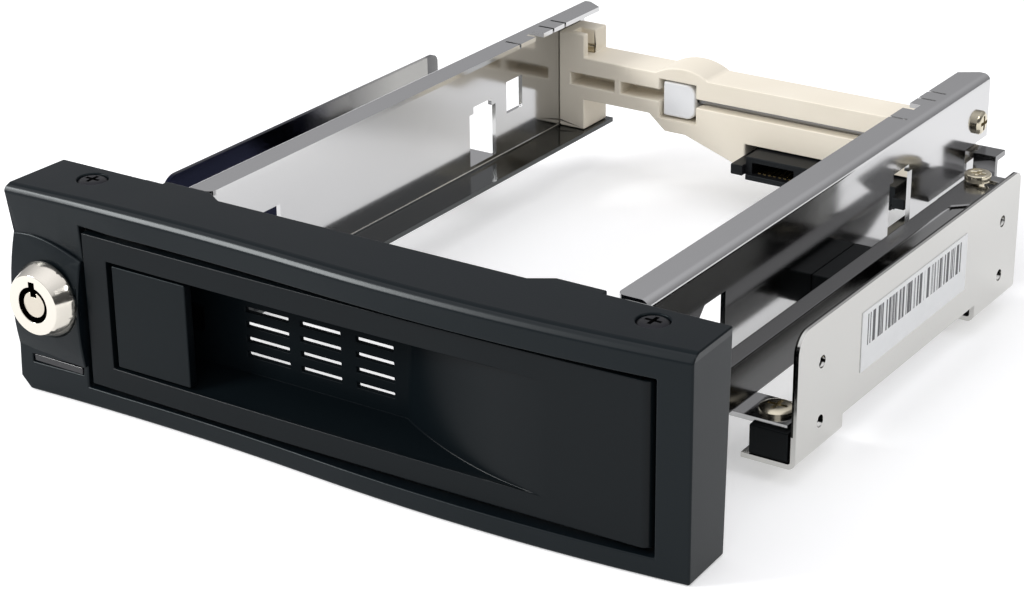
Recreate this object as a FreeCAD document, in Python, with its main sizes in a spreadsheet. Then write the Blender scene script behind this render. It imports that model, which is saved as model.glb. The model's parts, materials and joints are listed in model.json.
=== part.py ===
import FreeCAD, Part
import math
import os

import Sketcher
from FreeCAD import Vector

# Trayless drive bay. X points right, Y back and Z up, with Y = 0 at the back of the bezel,
# where it stops against the computer case, X = 0 at the middle and Z = 0 at the bezel's lower edge.

doc = FreeCAD.newDocument("TraylessDriveBay")
sheet = doc.addObject("Spreadsheet::Sheet", "Dim")
rows = []
nodes = []


class Length:
    """A length: an expression on the sheet together with its present value."""

    def __init__(self, text, value):
        self.text = text
        self.value = value

    def __add__(self, other):
        other = as_length(other)
        return Length(f"({self.text} + {other.text})", self.value + other.value)

    def __radd__(self, other):
        return as_length(other) + self

    def __sub__(self, other):
        other = as_length(other)
        return Length(f"({self.text} - {other.text})", self.value - other.value)

    def __rsub__(self, other):
        return as_length(other) - self

    def __mul__(self, other):
        other = as_length(other)
        return Length(f"({self.text} * {other.text})", self.value * other.value)

    def __rmul__(self, other):
        return as_length(other) * self

    def __truediv__(self, other):
        other = as_length(other)
        return Length(f"({self.text} / {other.text})", self.value / other.value)

    def __neg__(self):
        return Length(f"(0 - {self.text})", -self.value)

    def cos(self, angle):
        return Length(f"({self.text} * cos({angle.text} * 1 deg))",
                      self.value * math.cos(math.radians(angle.value)))

    def sin(self, angle):
        return Length(f"({self.text} * sin({angle.text} * 1 deg))",
                      self.value * math.sin(math.radians(angle.value)))


def as_length(number):
    """Lengths stay as they are and plain numbers become constant lengths."""
    if isinstance(number, Length):
        return number
    if number < 0:
        return Length(f"(0 - {abs(number)})", number)
    return Length(f"{number}", number)


def size(alias, value):
    """Write a driving size on the sheet and return it as a length."""
    rows.append(alias)
    cell = f"B{len(rows)}"
    sheet.set(f"A{len(rows)}", alias)
    sheet.set(cell, str(value))
    sheet.setAlias(cell, alias)
    return Length(f"Dim.{alias}", value)


# Standards: the 5.25 inch slot, the 3.5 inch drive and the case screws
bay_width = size("bay_width", 146.0)
drive_width = size("drive_width", 101.6)
drive_height = size("drive_height", 26.1)
drive_length = size("drive_length", 147.0)
case_hole_pitch_y = size("case_hole_pitch_y", 79.25)
case_hole_pitch_z = size("case_hole_pitch_z", 11.84)
case_hole_radius = size("case_hole_radius", 1.25)

# Clearances
slide_gap = size("slide_gap", 0.3)
turn_gap = size("turn_gap", 0.06)
hole_gap = size("hole_gap", 0.1)
drive_gap = size("drive_gap", 0.3)
door_gap = size("door_gap", 1.0)
cut_margin = size("cut_margin", 10.0)

# Folded steel
steel = size("steel_thickness", 1.0)
bend = size("bend_radius", 0.6)

# Bezel
bezel_width = size("bezel_width", 149.0)
bezel_height = size("bezel_height", 42.3)
bezel_depth = size("bezel_depth", 12.7)
bezel_draft = size("bezel_draft", 1.0)
bezel_wall = size("bezel_wall", 2.0)
bezel_front_wall = size("bezel_front_wall", 2.3)
face_lean = size("face_lean", 2.0)
bow_left = size("bow_left", 2.4)
bow_turn = size("bow_turn", 2.45)
bow_turn_x = size("bow_turn_x", 2.0)
hollow_radius = size("hollow_radius", 636.0)
crest_radius = size("crest_radius", 430.0)
strip_height = size("strip_height", 2.0)
strip_set_back = size("strip_set_back", 1.1)
opening_left_margin = size("opening_left_margin", 17.1)
opening_right_margin = size("opening_right_margin", 6.5)
opening_low = size("opening_low", 3.7)
opening_top_margin = size("opening_top_margin", 5.5)
rim_thick = size("rim_thick", 1.8)
rim_depth = size("rim_depth", 4.9)
corner_cut = size("corner_cut", 2.4)
rear_tab_inner = size("rear_tab_inner", 40.5)
rear_tab_width = size("rear_tab_width", 18.0)
rear_tab_reach = size("rear_tab_reach", 2.5)
rear_tab_slope = size("rear_tab_slope", 3.0)
bezel_screw_x = size("bezel_screw_x", 61.8)
bezel_screw_y = size("bezel_screw_y", 4.0)
screw_sink = size("bezel_screw_sink", 1.2)
screw_head = size("bezel_screw_head_radius", 2.9)
screw_shank = size("bezel_screw_shank_radius", 1.4)
screw_reach = size("bezel_screw_reach", 1.0)
drive_arm = size("screw_drive_arm", 1.6)
drive_half = size("screw_drive_half_width", 0.4)
drive_depth = size("screw_drive_depth", 0.8)

# Lock pad and lock
pad_low = size("pad_low", 9.2)
pad_high = size("pad_high", 32.0)
pad_radius = size("pad_radius", 45.0)
pad_drop = size("pad_drop", 1.4)
pad_root = size("pad_root", 1.2)
pad_overrun = size("pad_overrun", 2.5)
lock_margin = size("lock_margin", 9.1)
lock_z = size("lock_height", 20.8)
lock_seat = size("lock_seat", 2.5)
lock_protrusion = size("lock_protrusion", 4.0)
lock_base_rim = size("lock_base_rim", 0.5)
lock_base_radius = size("lock_base_radius", 7.6)
lock_face_radius = size("lock_face_radius", 6.0)
lock_shank = size("lock_shank_radius", 4.7)
lock_bore = size("lock_bore_radius", 3.6)
lock_post = size("lock_post_radius", 2.6)
keyway_depth = size("keyway_depth", 3.6)
post_set_back = size("post_set_back", 0.4)
key_notch_width = size("key_notch_width", 1.5)
key_notch_depth = size("key_notch_depth", 1.1)
lock_tail_gap = size("lock_tail_gap", 0.5)
lock_nut_flat = size("lock_nut_half_flat", 5.0)
lock_nut_thick = size("lock_nut_thickness", 2.2)
cam_thick = size("cam_thickness", 1.3)
cam_reach = size("cam_reach", 7.6)
cam_half = size("cam_half_width", 3.2)
cam_heel_round = size("cam_heel_round", 2.9)
cam_tip_round = size("cam_tip_round", 1.6)
cam_stub = size("cam_stub_radius", 2.0)
cam_screw_head = size("cam_screw_head_radius", 2.6)
cam_screw_thick = size("cam_screw_head_thickness", 1.2)
cam_screw_shank = size("cam_screw_shank_radius", 1.0)
cam_screw_length = size("cam_screw_length", 3.4)

# Status light
led_inset = size("led_inset", 3.2)
led_length = size("led_length", 12.7)
led_low = size("led_low", 5.9)
led_tall = size("led_height", 1.6)
lens_front = size("lens_front", 1.5)
lens_flange = size("lens_flange", 0.8)
lens_flange_thick = size("lens_flange_thickness", 0.4)
led_half = size("led_half_width", 1.1)
led_spacing = size("led_spacing", 6.0)
led_board_gap = size("led_board_gap", 2.2)
led_board_low = size("led_board_low", 3.6)
led_board_high = size("led_board_high", 12.2)
led_board_thick = size("led_board_thickness", 1.2)
led_post = size("led_post_half_width", 1.1)
led_post_drop = size("led_post_drop", 1.6)

# Door and hinge
door_proud = size("door_proud", 1.3)
door_ease = size("door_ease", 0.85)
door_bow = size("door_front_radius", 2500.0)
door_corner = size("door_corner_radius", 2.0)
door_depth = size("door_depth", 5.0)
door_plate = size("door_plate", 2.0)
door_skirt = size("door_skirt", 1.6)
hinge_inset = size("hinge_inset", 4.4)
hinge_behind = size("hinge_behind", 0.5)
hinge_pin = size("hinge_pin_radius", 1.2)
hinge_boss = size("hinge_boss_radius", 2.9)
hinge_floor = size("hinge_pin_floor", 1.0)
hinge_block = size("hinge_block_half", 3.5)
hinge_block_deep = size("hinge_block_depth", 3.9)
recess_border = size("recess_border", 4.6)
recess_left_border = size("recess_left_border", 5.8)
recess_depth = size("recess_depth", 9.0)
recess_end = size("recess_end", 19.5)
recess_floor_rise = size("recess_floor_rise", 2.1)
recess_floor_lip = size("recess_floor_lip", 0.8)
shell_wall = size("shell_wall", 1.2)
shell_root = size("shell_root", 1.5)
scoop_radius = size("scoop_radius", 90.0)
scoop_start = size("scoop_start", 62.1)
scoop_over = size("scoop_over", 2.5)
scoop_ease = size("scoop_ease", 0.3)
vent_height = size("vent_height", 1.0)
vent_low = size("vent_low", 14.7)
vent_pitch = size("vent_pitch", 3.04)
vent_first = size("vent_first", 25.6)
vent_length = size("vent_length", 10.0)
vent_step = size("vent_step", 12.7)
vent_shrink = size("vent_shrink", 0.8)
vent_columns = 3
vent_rows = 4
tail_radius = size("tail_radius", 6.0)
tail_angle = size("tail_angle", 10.0)
tail_tip = size("tail_half_width", 1.1)
tail_nose = size("tail_nose_radius", 1.101)
tail_root = size("tail_root_radius", 2.3)
tail_low = size("tail_low", 12.5)
tail_high = size("tail_high", 17.5)

# Latch
latch_width = size("latch_width", 17.7)
latch_left_gap = size("latch_left_gap", 1.2)
latch_end_gap = size("latch_end_gap", 0.6)
latch_thick = size("latch_thickness", 2.0)
latch_pivot_in = size("latch_pivot_in", 1.8)
latch_pivot_back = size("latch_pivot_back", 2.6)
latch_pin = size("latch_pin_radius", 0.8)
latch_barrel = size("latch_barrel_radius", 2.0)
latch_barrel_low = size("latch_barrel_low", 11.2)
arm_low = size("latch_arm_low", 16.0)
arm_high = size("latch_arm_high", 24.0)
arm_thick = size("latch_arm_thickness", 1.7)
arm_window = size("latch_arm_window", 0.8)
arm_root = size("latch_arm_root", 1.4)
arm_heel = size("latch_arm_heel", 1.6)
latch_spring_thick = size("latch_spring_thickness", 0.25)
latch_spring_width = size("latch_spring_width", 5.0)
latch_spring_foot = size("latch_spring_foot", 6.0)
latch_spring_run = size("latch_spring_run", 9.0)

# Rails
ledge_top = size("ledge_top", 10.2)
ledge_width = size("ledge_width", 8.0)
flange_width = size("flange_width", 4.2)
flange_front = size("flange_front", 12.2)
flange_cut = size("flange_corner_cut", 2.5)
slit_width = size("flange_slit_width", 0.7)
slit_deep = size("flange_slit_depth", 2.6)
slit_rear = size("flange_slit_rear", 17.7)
slit_step = size("flange_slit_step", 5.0)
finger_length = size("flange_finger_length", 13.7)
finger_notch = size("flange_finger_notch", 3.4)
finger_notch_at = size("flange_finger_notch_at", 6.6)
finger_notch_deep = size("flange_finger_notch_depth", 1.1)
rail_lead = size("rail_lead", 1.5)
rail_tail = size("rail_tail", 1.2)
bracket_back = size("bracket_back", 11.0)
bracket_lap = size("bracket_lap", 4.0)
low_ear = size("low_ear_width", 7.9)
ear_edge = size("ear_edge", 4.2)
ear_front_edge = size("ear_front_edge", 3.6)
ear_back = size("ear_back", 6.0)
tab_lift = size("tab_lift", 0.2)
tab_gap = size("tab_gap", 0.4)
tab_edge = size("tab_edge", 4.5)
front_slot_y = size("front_slot_y", 28.4)
front_slot_width = size("front_slot_width", 10.1)
front_slot_cut = size("front_slot_cut", 2.4)
rear_slot_y = size("rear_slot_y", 106.6)
rear_slot_width = size("rear_slot_width", 10.4)
left_slot_top = size("left_slot_top", 25.2)
right_slot_top = size("right_slot_top", 29.8)
rear_slot_cut = size("rear_slot_cut", 1.6)
window_y = size("window_y", 121.5)
window_width = size("window_width", 6.5)
window_low = size("window_low", 19.7)
window_high = size("window_high", 27.3)

# Side plates
plate_front = size("plate_front", 27.4)
plate_length = size("plate_length", 96.7)
plate_low = size("plate_low", 3.5)
plate_middle = size("plate_middle", 7.3)
plate_top = size("plate_top", 29.9)
plate_round = size("plate_front_round", 4.0)
plate_rear_round = size("plate_rear_round", 2.0)
front_foot = size("front_foot", 18.6)
rear_foot = size("rear_foot", 19.8)
foot_width = size("foot_width", 11.0)
case_hole_y = size("case_hole_y", 9.3)
case_hole_z = size("case_hole_z", 9.65)
spacer_inset = size("spacer_inset", 6.0)
spacer_inner = size("spacer_inner_width", 2.6)
spacer_half = size("spacer_half_length", 5.8)
plate_screw_shank = size("plate_screw_shank_radius", 1.5)
plate_screw_head = size("plate_screw_head_radius", 3.4)
plate_screw_tall = size("plate_screw_head_height", 1.2)
plate_screw_length = size("plate_screw_length", 5.0)
label_front = size("label_front", 25.0)
label_length = size("label_length", 46.0)
label_low = size("label_low", 13.0)
label_tall = size("label_height", 12.0)
label_thick = size("label_thickness", 0.15)

# Crossbar
bar_depth = size("crossbar_depth", 10.1)
bar_end_gap = size("crossbar_end_gap", 0.1)
post_width = size("crossbar_post_width", 6.8)
post_top = size("crossbar_post_top", 33.5)
post_lift = size("crossbar_post_lift", 0.1)
neck_low = size("crossbar_neck_low", 17.7)
neck_top = size("crossbar_neck_top", 28.0)
neck_end = size("crossbar_neck_end", 26.6)
step_low = size("crossbar_step_low", 14.1)
step_start = size("crossbar_step_start", 22.4)
step_end = size("crossbar_step_end", 17.0)
bar_low = size("crossbar_low", 9.3)
bar_low_start = size("crossbar_low_start", 2.9)
post_slot_front = size("post_slot_front", 2.0)
post_slot_width = size("post_slot_width", 3.2)
post_slot_deep = size("post_slot_depth", 4.0)
hump_left = size("hump_left", 24.8)
hump_right = size("hump_right", 11.0)
hump_radius = size("hump_radius", 13.5)
lightening_depth = size("lightening_depth", 6.0)
lightening_low = size("lightening_low", 21.1)
lightening_high = size("lightening_high", 23.9)
lightening_one = size("lightening_one", 47.9)
lightening_one_length = size("lightening_one_length", 11.9)
lightening_two = size("lightening_two", 34.3)
lightening_two_length = size("lightening_two_length", 10.6)
bar_rear_wall = size("crossbar_rear_wall", 1.5)
bar_screw_z = size("crossbar_screw_z", 28.6)
bar_screw_inset = size("crossbar_screw_inset", 5.9)
bar_screw_head = size("crossbar_screw_head_radius", 2.6)
bar_screw_tall = size("crossbar_screw_head_height", 1.5)
bar_screw_shank = size("crossbar_screw_shank_radius", 1.3)
bar_screw_length = size("crossbar_screw_length", 6.5)

# Ejector
lever_low = size("lever_low", 21.7)
lever_thick = size("lever_thickness", 1.2)
lever_inset = size("lever_inset", 4.9)
lever_half = size("lever_half_width", 2.5)
lever_pivot_x = size("lever_pivot_x", 36.0)
lever_pin = size("lever_pin_radius", 1.5)
lever_pin_low = size("lever_pin_low", 18.6)
lever_tip = size("lever_tip", 18.5)
lever_slot_gap = size("lever_slot_gap", 0.4)
lever_slot_open = size("lever_slot_open", 39.0)
lever_off_rail = size("lever_off_rail", 1.0)
lever_arm_width = size("lever_arm_width", 10.1)
lever_arm_front = size("lever_arm_front", 20.2)
lever_arm_round = size("lever_arm_round", 3.0)
lever_drop_width = size("lever_drop_width", 5.1)
lever_arm_taper = size("lever_arm_taper", 4.0)
lever_notch_front = size("lever_notch_front", 2.2)
lever_notch_gap = size("lever_notch_gap", 1.0)
pusher_left = size("pusher_left", 23.2)
pusher_width = size("pusher_width", 8.4)
pusher_low = size("pusher_low", 17.7)
pusher_tall = size("pusher_height", 8.2)
pusher_front = size("pusher_front", 0.8)
pusher_deep = size("pusher_depth", 7.2)
pusher_gap = size("pusher_gap", 0.6)
pusher_round = size("pusher_round", 2.4)
pusher_slit_gap = size("pusher_slit_gap", 0.1)
link_out = size("link_out", 8.9)
link_width = size("link_width", 4.0)
link_top = size("link_top", 22.0)
link_front = size("link_front", 3.0)
link_rear_gap = size("link_rear_gap", 8.8)
link_taper = size("link_taper", 5.0)
link_foot_low = size("link_foot_low", 14.0)
link_foot_thick = size("link_foot_thickness", 1.2)
link_lost_motion = size("link_lost_motion", 1.8)
link_foot_edge = size("link_foot_edge", 1.0)
tongue_ahead = size("tongue_ahead", 15.8)
tongue_behind = size("tongue_behind", 5.2)
tongue_width = size("tongue_width", 9.6)
link_pin_x = size("link_pin_x", 7.9)
link_pin_y = size("link_pin_y", 15.9)
link_pin_radius = size("link_pin_radius", 1.5)
link_pin_head = size("link_pin_head_radius", 2.8)
link_pin_head_tall = size("link_pin_head_height", 1.7)
link_pin_collar = size("link_pin_collar_radius", 2.5)
link_pin_collar_tall = size("link_pin_collar_height", 2.6)
link_pin_play = size("link_pin_play", 0.5)
link_pin_drift = size("link_pin_drift", 3.0)
guide_front = size("guide_front", 73.0)
guide_length = size("guide_length", 19.0)
guide_low = size("guide_low", 14.0)
guide_gap = size("guide_gap", 0.4)

# Docking connector and backplane
dock_left = size("dock_left", 0.8)
dock_width = size("dock_width", 42.8)
dock_low = size("dock_low", 9.4)
dock_tall = size("dock_height", 5.2)
dock_reach = size("dock_reach", 5.8)
dock_gap = size("dock_gap", 0.4)
dock_slot_tall = size("dock_slot_height", 2.6)
dock_slot_deep = size("dock_slot_depth", 6.5)
dock_data_start = size("dock_data_start", 4.6)
dock_data_length = size("dock_data_length", 10.4)
dock_power_start = size("dock_power_start", 17.6)
dock_power_length = size("dock_power_length", 20.9)
horn_width = size("horn_width", 3.0)
horn_reach = size("horn_reach", 1.6)
horn_lift = size("horn_lift", 1.0)
horn_tall = size("horn_height", 2.4)
lip_reach = size("dock_lip_reach", 1.0)
lip_tall = size("dock_lip_height", 1.3)
contact_pitch = size("contact_pitch", 1.27)
data_ways = 7
power_ways = 15
contact_width = size("contact_width", 0.7)
contact_thick = size("contact_thickness", 0.3)
contact_start = size("contact_start", 1.4)
contact_set_back = size("contact_set_back", 1.0)
contact_length = size("contact_length", 5.5)
board_left = size("board_left", 9.5)
board_right = size("board_right", 49.5)
board_low = size("board_low", 10.7)
board_high = size("board_high", 22.0)
board_thick = size("board_thickness", 1.6)
board_screw_one = size("board_screw_one", 6.4)
board_screw_two = size("board_screw_two", 46.4)
board_screw_z = size("board_screw_z", 19.2)
board_screw_head = size("board_screw_head_radius", 2.2)
board_screw_tall = size("board_screw_head_height", 1.3)
board_screw_shank = size("board_screw_shank_radius", 1.1)
board_screw_length = size("board_screw_length", 6.0)
data_left = size("data_socket_left", 24.0)
data_width = size("data_socket_width", 16.6)
data_low = size("data_socket_low", 11.4)
data_tall = size("data_socket_height", 6.4)
data_deep = size("data_socket_depth", 8.6)
data_wall = size("data_socket_wall", 1.3)
data_floor = size("data_socket_floor", 1.6)
tongue_thick = size("data_tongue_thickness", 1.1)
data_tongue_length = size("data_tongue_length", 10.0)
power_left = size("power_socket_left", 3.6)
power_width = size("power_socket_width", 23.0)
power_low = size("power_socket_low", 11.0)
power_tall = size("power_socket_height", 9.6)
power_deep = size("power_socket_depth", 11.0)
power_wall = size("power_socket_wall", 1.3)
power_floor = size("power_socket_floor", 1.6)
power_corner = size("power_socket_corner", 2.2)
power_pin = size("power_pin_radius", 1.05)
power_pin_pitch = size("power_pin_pitch", 5.08)
power_pin_length = size("power_pin_length", 7.5)
power_pin_count = 4

doc.recompute()


# Outlines that can be drawn in a sketch


class Corner:
    """A corner of an outline, rounded or not; the edge after it is straight or an arc."""

    def __init__(self, u, v, rounding=None, arc=None, left=True):
        self.u = as_length(u)
        self.v = as_length(v)
        self.rounding = rounding
        self.arc = arc
        self.left = left


class Ring:
    """A circle in a sketch."""

    def __init__(self, u, v, radius):
        self.u = as_length(u)
        self.v = as_length(v)
        self.radius = radius

    def draw(self, sketch):
        centre = Vector(self.u.value, self.v.value, 0)
        geo = sketch.addGeometry(Part.Circle(centre, Vector(0, 0, 1), self.radius.value), False)
        bind(sketch, [Sketcher.Constraint("DistanceX", -1, 1, geo, 3, self.u.value),
                      Sketcher.Constraint("DistanceY", -1, 1, geo, 3, self.v.value),
                      Sketcher.Constraint("Radius", geo, self.radius.value)],
             {0: self.u, 1: self.v, 2: self.radius})


def bind(sketch, ties, lengths):
    """Add constraints and tie those listed in lengths to the sheet."""
    first = sketch.ConstraintCount
    sketch.addConstraint(ties)
    for index, length in lengths.items():
        sketch.setExpression(f"Constraints[{first + index}]", length.text)


def arc_about(centre, start, end, radius, left):
    """An arc round a centre and the ends of it that lie at the start and at the end."""
    begin, finish = (start, end) if left else (end, start)
    first = math.atan2(begin.y - centre.y, begin.x - centre.x)
    last = math.atan2(finish.y - centre.y, finish.x - centre.x)
    if last <= first:
        last = last + 2 * math.pi
    arc = Part.ArcOfCircle(Part.Circle(centre, Vector(0, 0, 1), radius), first, last)
    return arc, ((1, 2) if left else (2, 1))


def arc_between(start, end, radius, left):
    """The shorter arc of a radius between two points, turning left or right."""
    chord = end - start
    rise = math.sqrt(max(radius ** 2 - (chord.Length / 2) ** 2, 0))
    across = Vector(-chord.y, chord.x, 0).normalize()
    centre = start + chord * 0.5 + across * (rise if left else -rise)
    return arc_about(centre, start, end, radius, left)


class Outline:
    """A closed outline through corners."""

    def __init__(self, *corners):
        self.corners = corners

    def draw(self, sketch):
        corners = self.corners
        count = len(corners)
        points = [Vector(corner.u.value, corner.v.value, 0) for corner in corners]
        arrive = list(points)
        leave = list(points)
        centres = {}
        for i, corner in enumerate(corners):
            if corner.rounding is None:
                continue
            back = (points[i - 1] - points[i]).normalize()
            ahead = (points[(i + 1) % count] - points[i]).normalize()
            half = back.getAngle(ahead) / 2
            reach = corner.rounding.value / math.tan(half)
            arrive[i] = points[i] + back * reach
            leave[i] = points[i] + ahead * reach
            left = back.y * ahead.x - back.x * ahead.y > 0
            centre = points[i] + (back + ahead).normalize() * (corner.rounding.value / math.sin(half))
            centres[i] = (centre, left)
        edges = []
        for i, corner in enumerate(corners):
            start = leave[i]
            end = arrive[(i + 1) % count]
            if corner.arc is None:
                shape, ends = Part.LineSegment(start, end), (1, 2)
            else:
                shape, ends = arc_between(start, end, corner.arc.value, corner.left)
            edges.append((sketch.addGeometry(shape, False), ends))
        ties = []
        lengths = {}

        def tie(constraint, length=None):
            if length is not None:
                lengths[len(ties)] = length
            ties.append(constraint)

        for i, corner in enumerate(corners):
            before, before_ends = edges[i - 1]
            after, after_ends = edges[i]
            if corner.rounding is None:
                tie(Sketcher.Constraint("Coincident", before, before_ends[1], after, after_ends[0]))
                tie(Sketcher.Constraint("DistanceX", -1, 1, after, after_ends[0], corner.u.value), corner.u)
                tie(Sketcher.Constraint("DistanceY", -1, 1, after, after_ends[0], corner.v.value), corner.v)
            else:
                centre, left = centres[i]
                radius = corner.rounding
                shape, ends = arc_about(centre, arrive[i], leave[i], radius.value, left)
                arc = sketch.addGeometry(shape, False)
                point = sketch.addGeometry(Part.Point(points[i]), True)
                tie(Sketcher.Constraint("DistanceX", -1, 1, point, 1, corner.u.value), corner.u)
                tie(Sketcher.Constraint("DistanceY", -1, 1, point, 1, corner.v.value), corner.v)
                tie(Sketcher.Constraint("PointOnObject", point, 1, before))
                tie(Sketcher.Constraint("PointOnObject", point, 1, after))
                tie(Sketcher.Constraint("Tangent", before, before_ends[1], arc, ends[0]))
                tie(Sketcher.Constraint("Tangent", arc, ends[1], after, after_ends[0]))
                tie(Sketcher.Constraint("Radius", arc, radius.value), radius)
            if corner.arc is not None:
                tie(Sketcher.Constraint("Radius", after, corner.arc.value), corner.arc)
        bind(sketch, ties, lengths)


def rect(u0, v0, u1, v1, rounding=None):
    """A rectangle between two opposite corners."""
    return Outline(Corner(u0, v0, rounding), Corner(u1, v0, rounding),
                   Corner(u1, v1, rounding), Corner(u0, v1, rounding))


class Piece:
    """One moulded, folded or turned piece, built up from sketch based features."""

    def __init__(self, label, is_node=True):
        self.body = doc.addObject("PartDesign::Body", label)
        self.body.Label = label
        self.planes = {feature.Role: feature for feature in self.body.Origin.OriginFeatures}
        self.volume = 0
        self.steps = 0
        if is_node:
            nodes.append(self.body)

    def sketch(self, plane, lift, outlines, shift=None):
        self.steps += 1
        sketch = self.body.newObject("Sketcher::SketchObject", f"{self.body.Name}_sketch{self.steps}")
        sketch.AttachmentSupport = [(self.planes[f"{plane}_Plane"], "")]
        sketch.MapMode = "FlatFace"
        sketch.setExpression("AttachmentOffset.Base.z", as_length(lift).text)
        for axis, length in (shift or {}).items():
            sketch.setExpression(f"AttachmentOffset.Base.{axis}", length.text)
        for outline in outlines:
            outline.draw(sketch)
        return sketch

    def settle(self, feature, grows):
        """Recompute and make sure that the step added or removed material."""
        doc.recompute()
        shape = feature.Shape
        wrong = "Invalid" in feature.State or "Error" in feature.State
        if wrong or shape.isNull() or not shape.isValid():
            raise RuntimeError(f"{feature.Name} in {self.body.Label} failed")
        if (shape.Volume > self.volume) != grows:
            raise RuntimeError(f"{feature.Name} in {self.body.Label} works the wrong way")
        self.volume = shape.Volume
        return feature

    def feature(self, kind):
        return self.body.newObject(f"PartDesign::{kind}", f"{self.body.Name}_{kind.lower()}{self.steps}")

    def pad(self, plane, low, high, *outlines, slant=None):
        """Material between two levels along a plane's normal, drawn out aslant if asked."""
        low, high = as_length(low), as_length(high)
        sketch = self.sketch(plane, -high if plane == "XZ" else low, outlines)
        pad = self.feature("Pad")
        pad.Profile = sketch
        pad.setExpression("Length", (high - low).text)
        if slant is not None:
            pad.UseCustomVector = True
            for axis, length in zip("xyz", slant):
                pad.setExpression(f"Direction.{axis}", as_length(length).text)
            pad.AlongSketchNormal = True
        return self.settle(pad, True)

    def pocket(self, plane, low, high, *outlines):
        """Material taken away between two levels along a plane's normal."""
        low, high = as_length(low), as_length(high)
        sketch = self.sketch(plane, -low if plane == "XZ" else high, outlines)
        pocket = self.feature("Pocket")
        pocket.Profile = sketch
        pocket.setExpression("Length", (high - low).text)
        self.settle(pocket, False)
        return pocket, sketch

    def turn(self, axis, u, v, *corners):
        """A turned piece: corners are radius and height along an axis through u and v."""
        if axis == "Z":
            sketch = self.sketch("XZ", -v, [Outline(*corners)], {"x": u})
        elif axis == "Y":
            sketch = self.sketch("XY", v, [Outline(*corners)], {"x": u})
        else:
            flipped = [Corner(corner.v, corner.u, corner.rounding, corner.arc) for corner in corners]
            sketch = self.sketch("XY", v, [Outline(*flipped)], {"y": u})
        turned = self.feature("Revolution")
        turned.Profile = sketch
        turned.ReferenceAxis = (sketch, ["H_Axis" if axis == "X" else "V_Axis"])
        turned.Angle = 360
        return self.settle(turned, True)

    def edges(self, choose):
        """Names of the edges of the last step whose ends and middle satisfy a test."""
        shape = self.body.Tip.Shape
        return [f"Edge{i + 1}" for i, edge in enumerate(shape.Edges) if choose(edge)]

    def dress(self, kind, radius, choose, second=None):
        """Fillet or chamfer of chosen edges."""
        base = self.body.Tip
        names = self.edges(choose)
        self.steps += 1
        dressed = self.feature(kind)
        dressed.Base = (base, names)
        if kind == "Fillet":
            dressed.setExpression("Radius", radius.text)
        else:
            dressed.setExpression("Size", radius.text)
        if second is not None:
            dressed.ChamferType = "Two distances"
            dressed.setExpression("Size2", second.text)
        return self.settle(dressed, False)


def block(label, x0, x1, y0, y1, z0, z1, is_node=True):
    """A plain rectangular block."""
    low = [as_length(x0), as_length(y0), as_length(z0)]
    high = [as_length(x1), as_length(y1), as_length(z1)]
    box = doc.addObject("Part::Box", label)
    box.Label = label
    for axis, prop, start, end in zip("xyz", ("Length", "Width", "Height"), low, high):
        box.setExpression(prop, (end - start).text)
        box.setExpression(f"Placement.Base.{axis}", start.text)
    if is_node:
        nodes.append(box)
    return box


def group(label, members):
    """Separate like pieces that share one node."""
    compound = doc.addObject("Part::Compound", label)
    compound.Label = label
    compound.Links = members
    nodes.append(compound)
    return compound


def cross(u, v, arm, half):
    """The cross of a screw drive."""
    return Outline(Corner(u - arm, v - half), Corner(u - half, v - half), Corner(u - half, v - arm),
                   Corner(u + half, v - arm), Corner(u + half, v - half), Corner(u + arm, v - half),
                   Corner(u + arm, v + half), Corner(u + half, v + half), Corner(u + half, v + arm),
                   Corner(u - half, v + arm), Corner(u - half, v + half), Corner(u - arm, v + half))


# Places that several pieces share
half_bezel = bezel_width / 2
bezel_inside = half_bezel - bezel_draft - bezel_wall
wall_back = bezel_front_wall - bezel_depth
far_front = -(bezel_depth + cut_margin)
opening_left = opening_left_margin - half_bezel
opening_right = half_bezel - opening_right_margin
opening_top = bezel_height - opening_top_margin
rim_top = opening_top + rim_thick
hinge_x = opening_right - hinge_inset
hinge_y = wall_back + hinge_behind
lock_x = lock_margin - half_bezel
lock_back = -(bezel_depth + lock_seat)
lock_front = lock_back - lock_protrusion
led_left = led_inset - half_bezel
led_right = led_left + led_length
led_middle = led_left + led_length / 2
led_high = led_low + led_tall
led_z = led_low + led_tall / 2
led_board_front = wall_back + led_board_gap
lens_back = wall_back + lens_flange_thick
ear_top = bezel_height - bezel_wall

door_left = opening_left + door_gap
door_right = opening_right - door_gap
door_bottom = opening_low + door_gap
door_top = opening_top - door_gap
door_front = -(bezel_depth + door_proud)
door_rear = door_front + door_depth
recess_left = door_left + recess_left_border
recess_right = door_right - recess_end
recess_bottom = door_bottom + recess_border
recess_top = door_top - recess_border
recess_back = door_front + recess_depth
shell_back = recess_back + shell_wall
latch_left = recess_left + latch_left_gap
latch_right = latch_left + latch_width
latch_x = latch_left + latch_pivot_in
latch_y = door_front + latch_pivot_back
arm_front = door_rear + slide_gap
arm_back = arm_front + arm_thick
cam_front = arm_back + slide_gap * 2
cam_back = cam_front + cam_thick

drive_front = shell_back + drive_gap
bar_front = drive_front + drive_length + drive_gap
bar_back = bar_front + bar_depth
rail_front = -rail_lead
rail_rear = bar_back + rail_tail
rail_in = drive_width / 2 + drive_gap
rail_out = rail_in + steel
ledge_low = ledge_top - steel
flange_low = ledge_top + drive_height + drive_gap * 2
flange_top = flange_low + steel
tab_low = ledge_top + tab_lift
tab_top = tab_low + steel
half_bay = bay_width / 2
plate_in = half_bay - steel
plate_rear = plate_front + plate_length
spacer_x = plate_in - spacer_inset
foot_top = plate_low + steel
outer_bend = bend + steel
front_tab_y = front_slot_y + front_slot_width / 2
rear_tab_y = rear_slot_y + rear_slot_width / 2
bar_screw_y = bar_front + bar_screw_inset
lever_y = bar_front + lever_inset
lever_top = lever_low + lever_thick
lever_front = lever_y - lever_half
lever_back = lever_y + lever_half
dock_right = dock_width - dock_left
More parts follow.
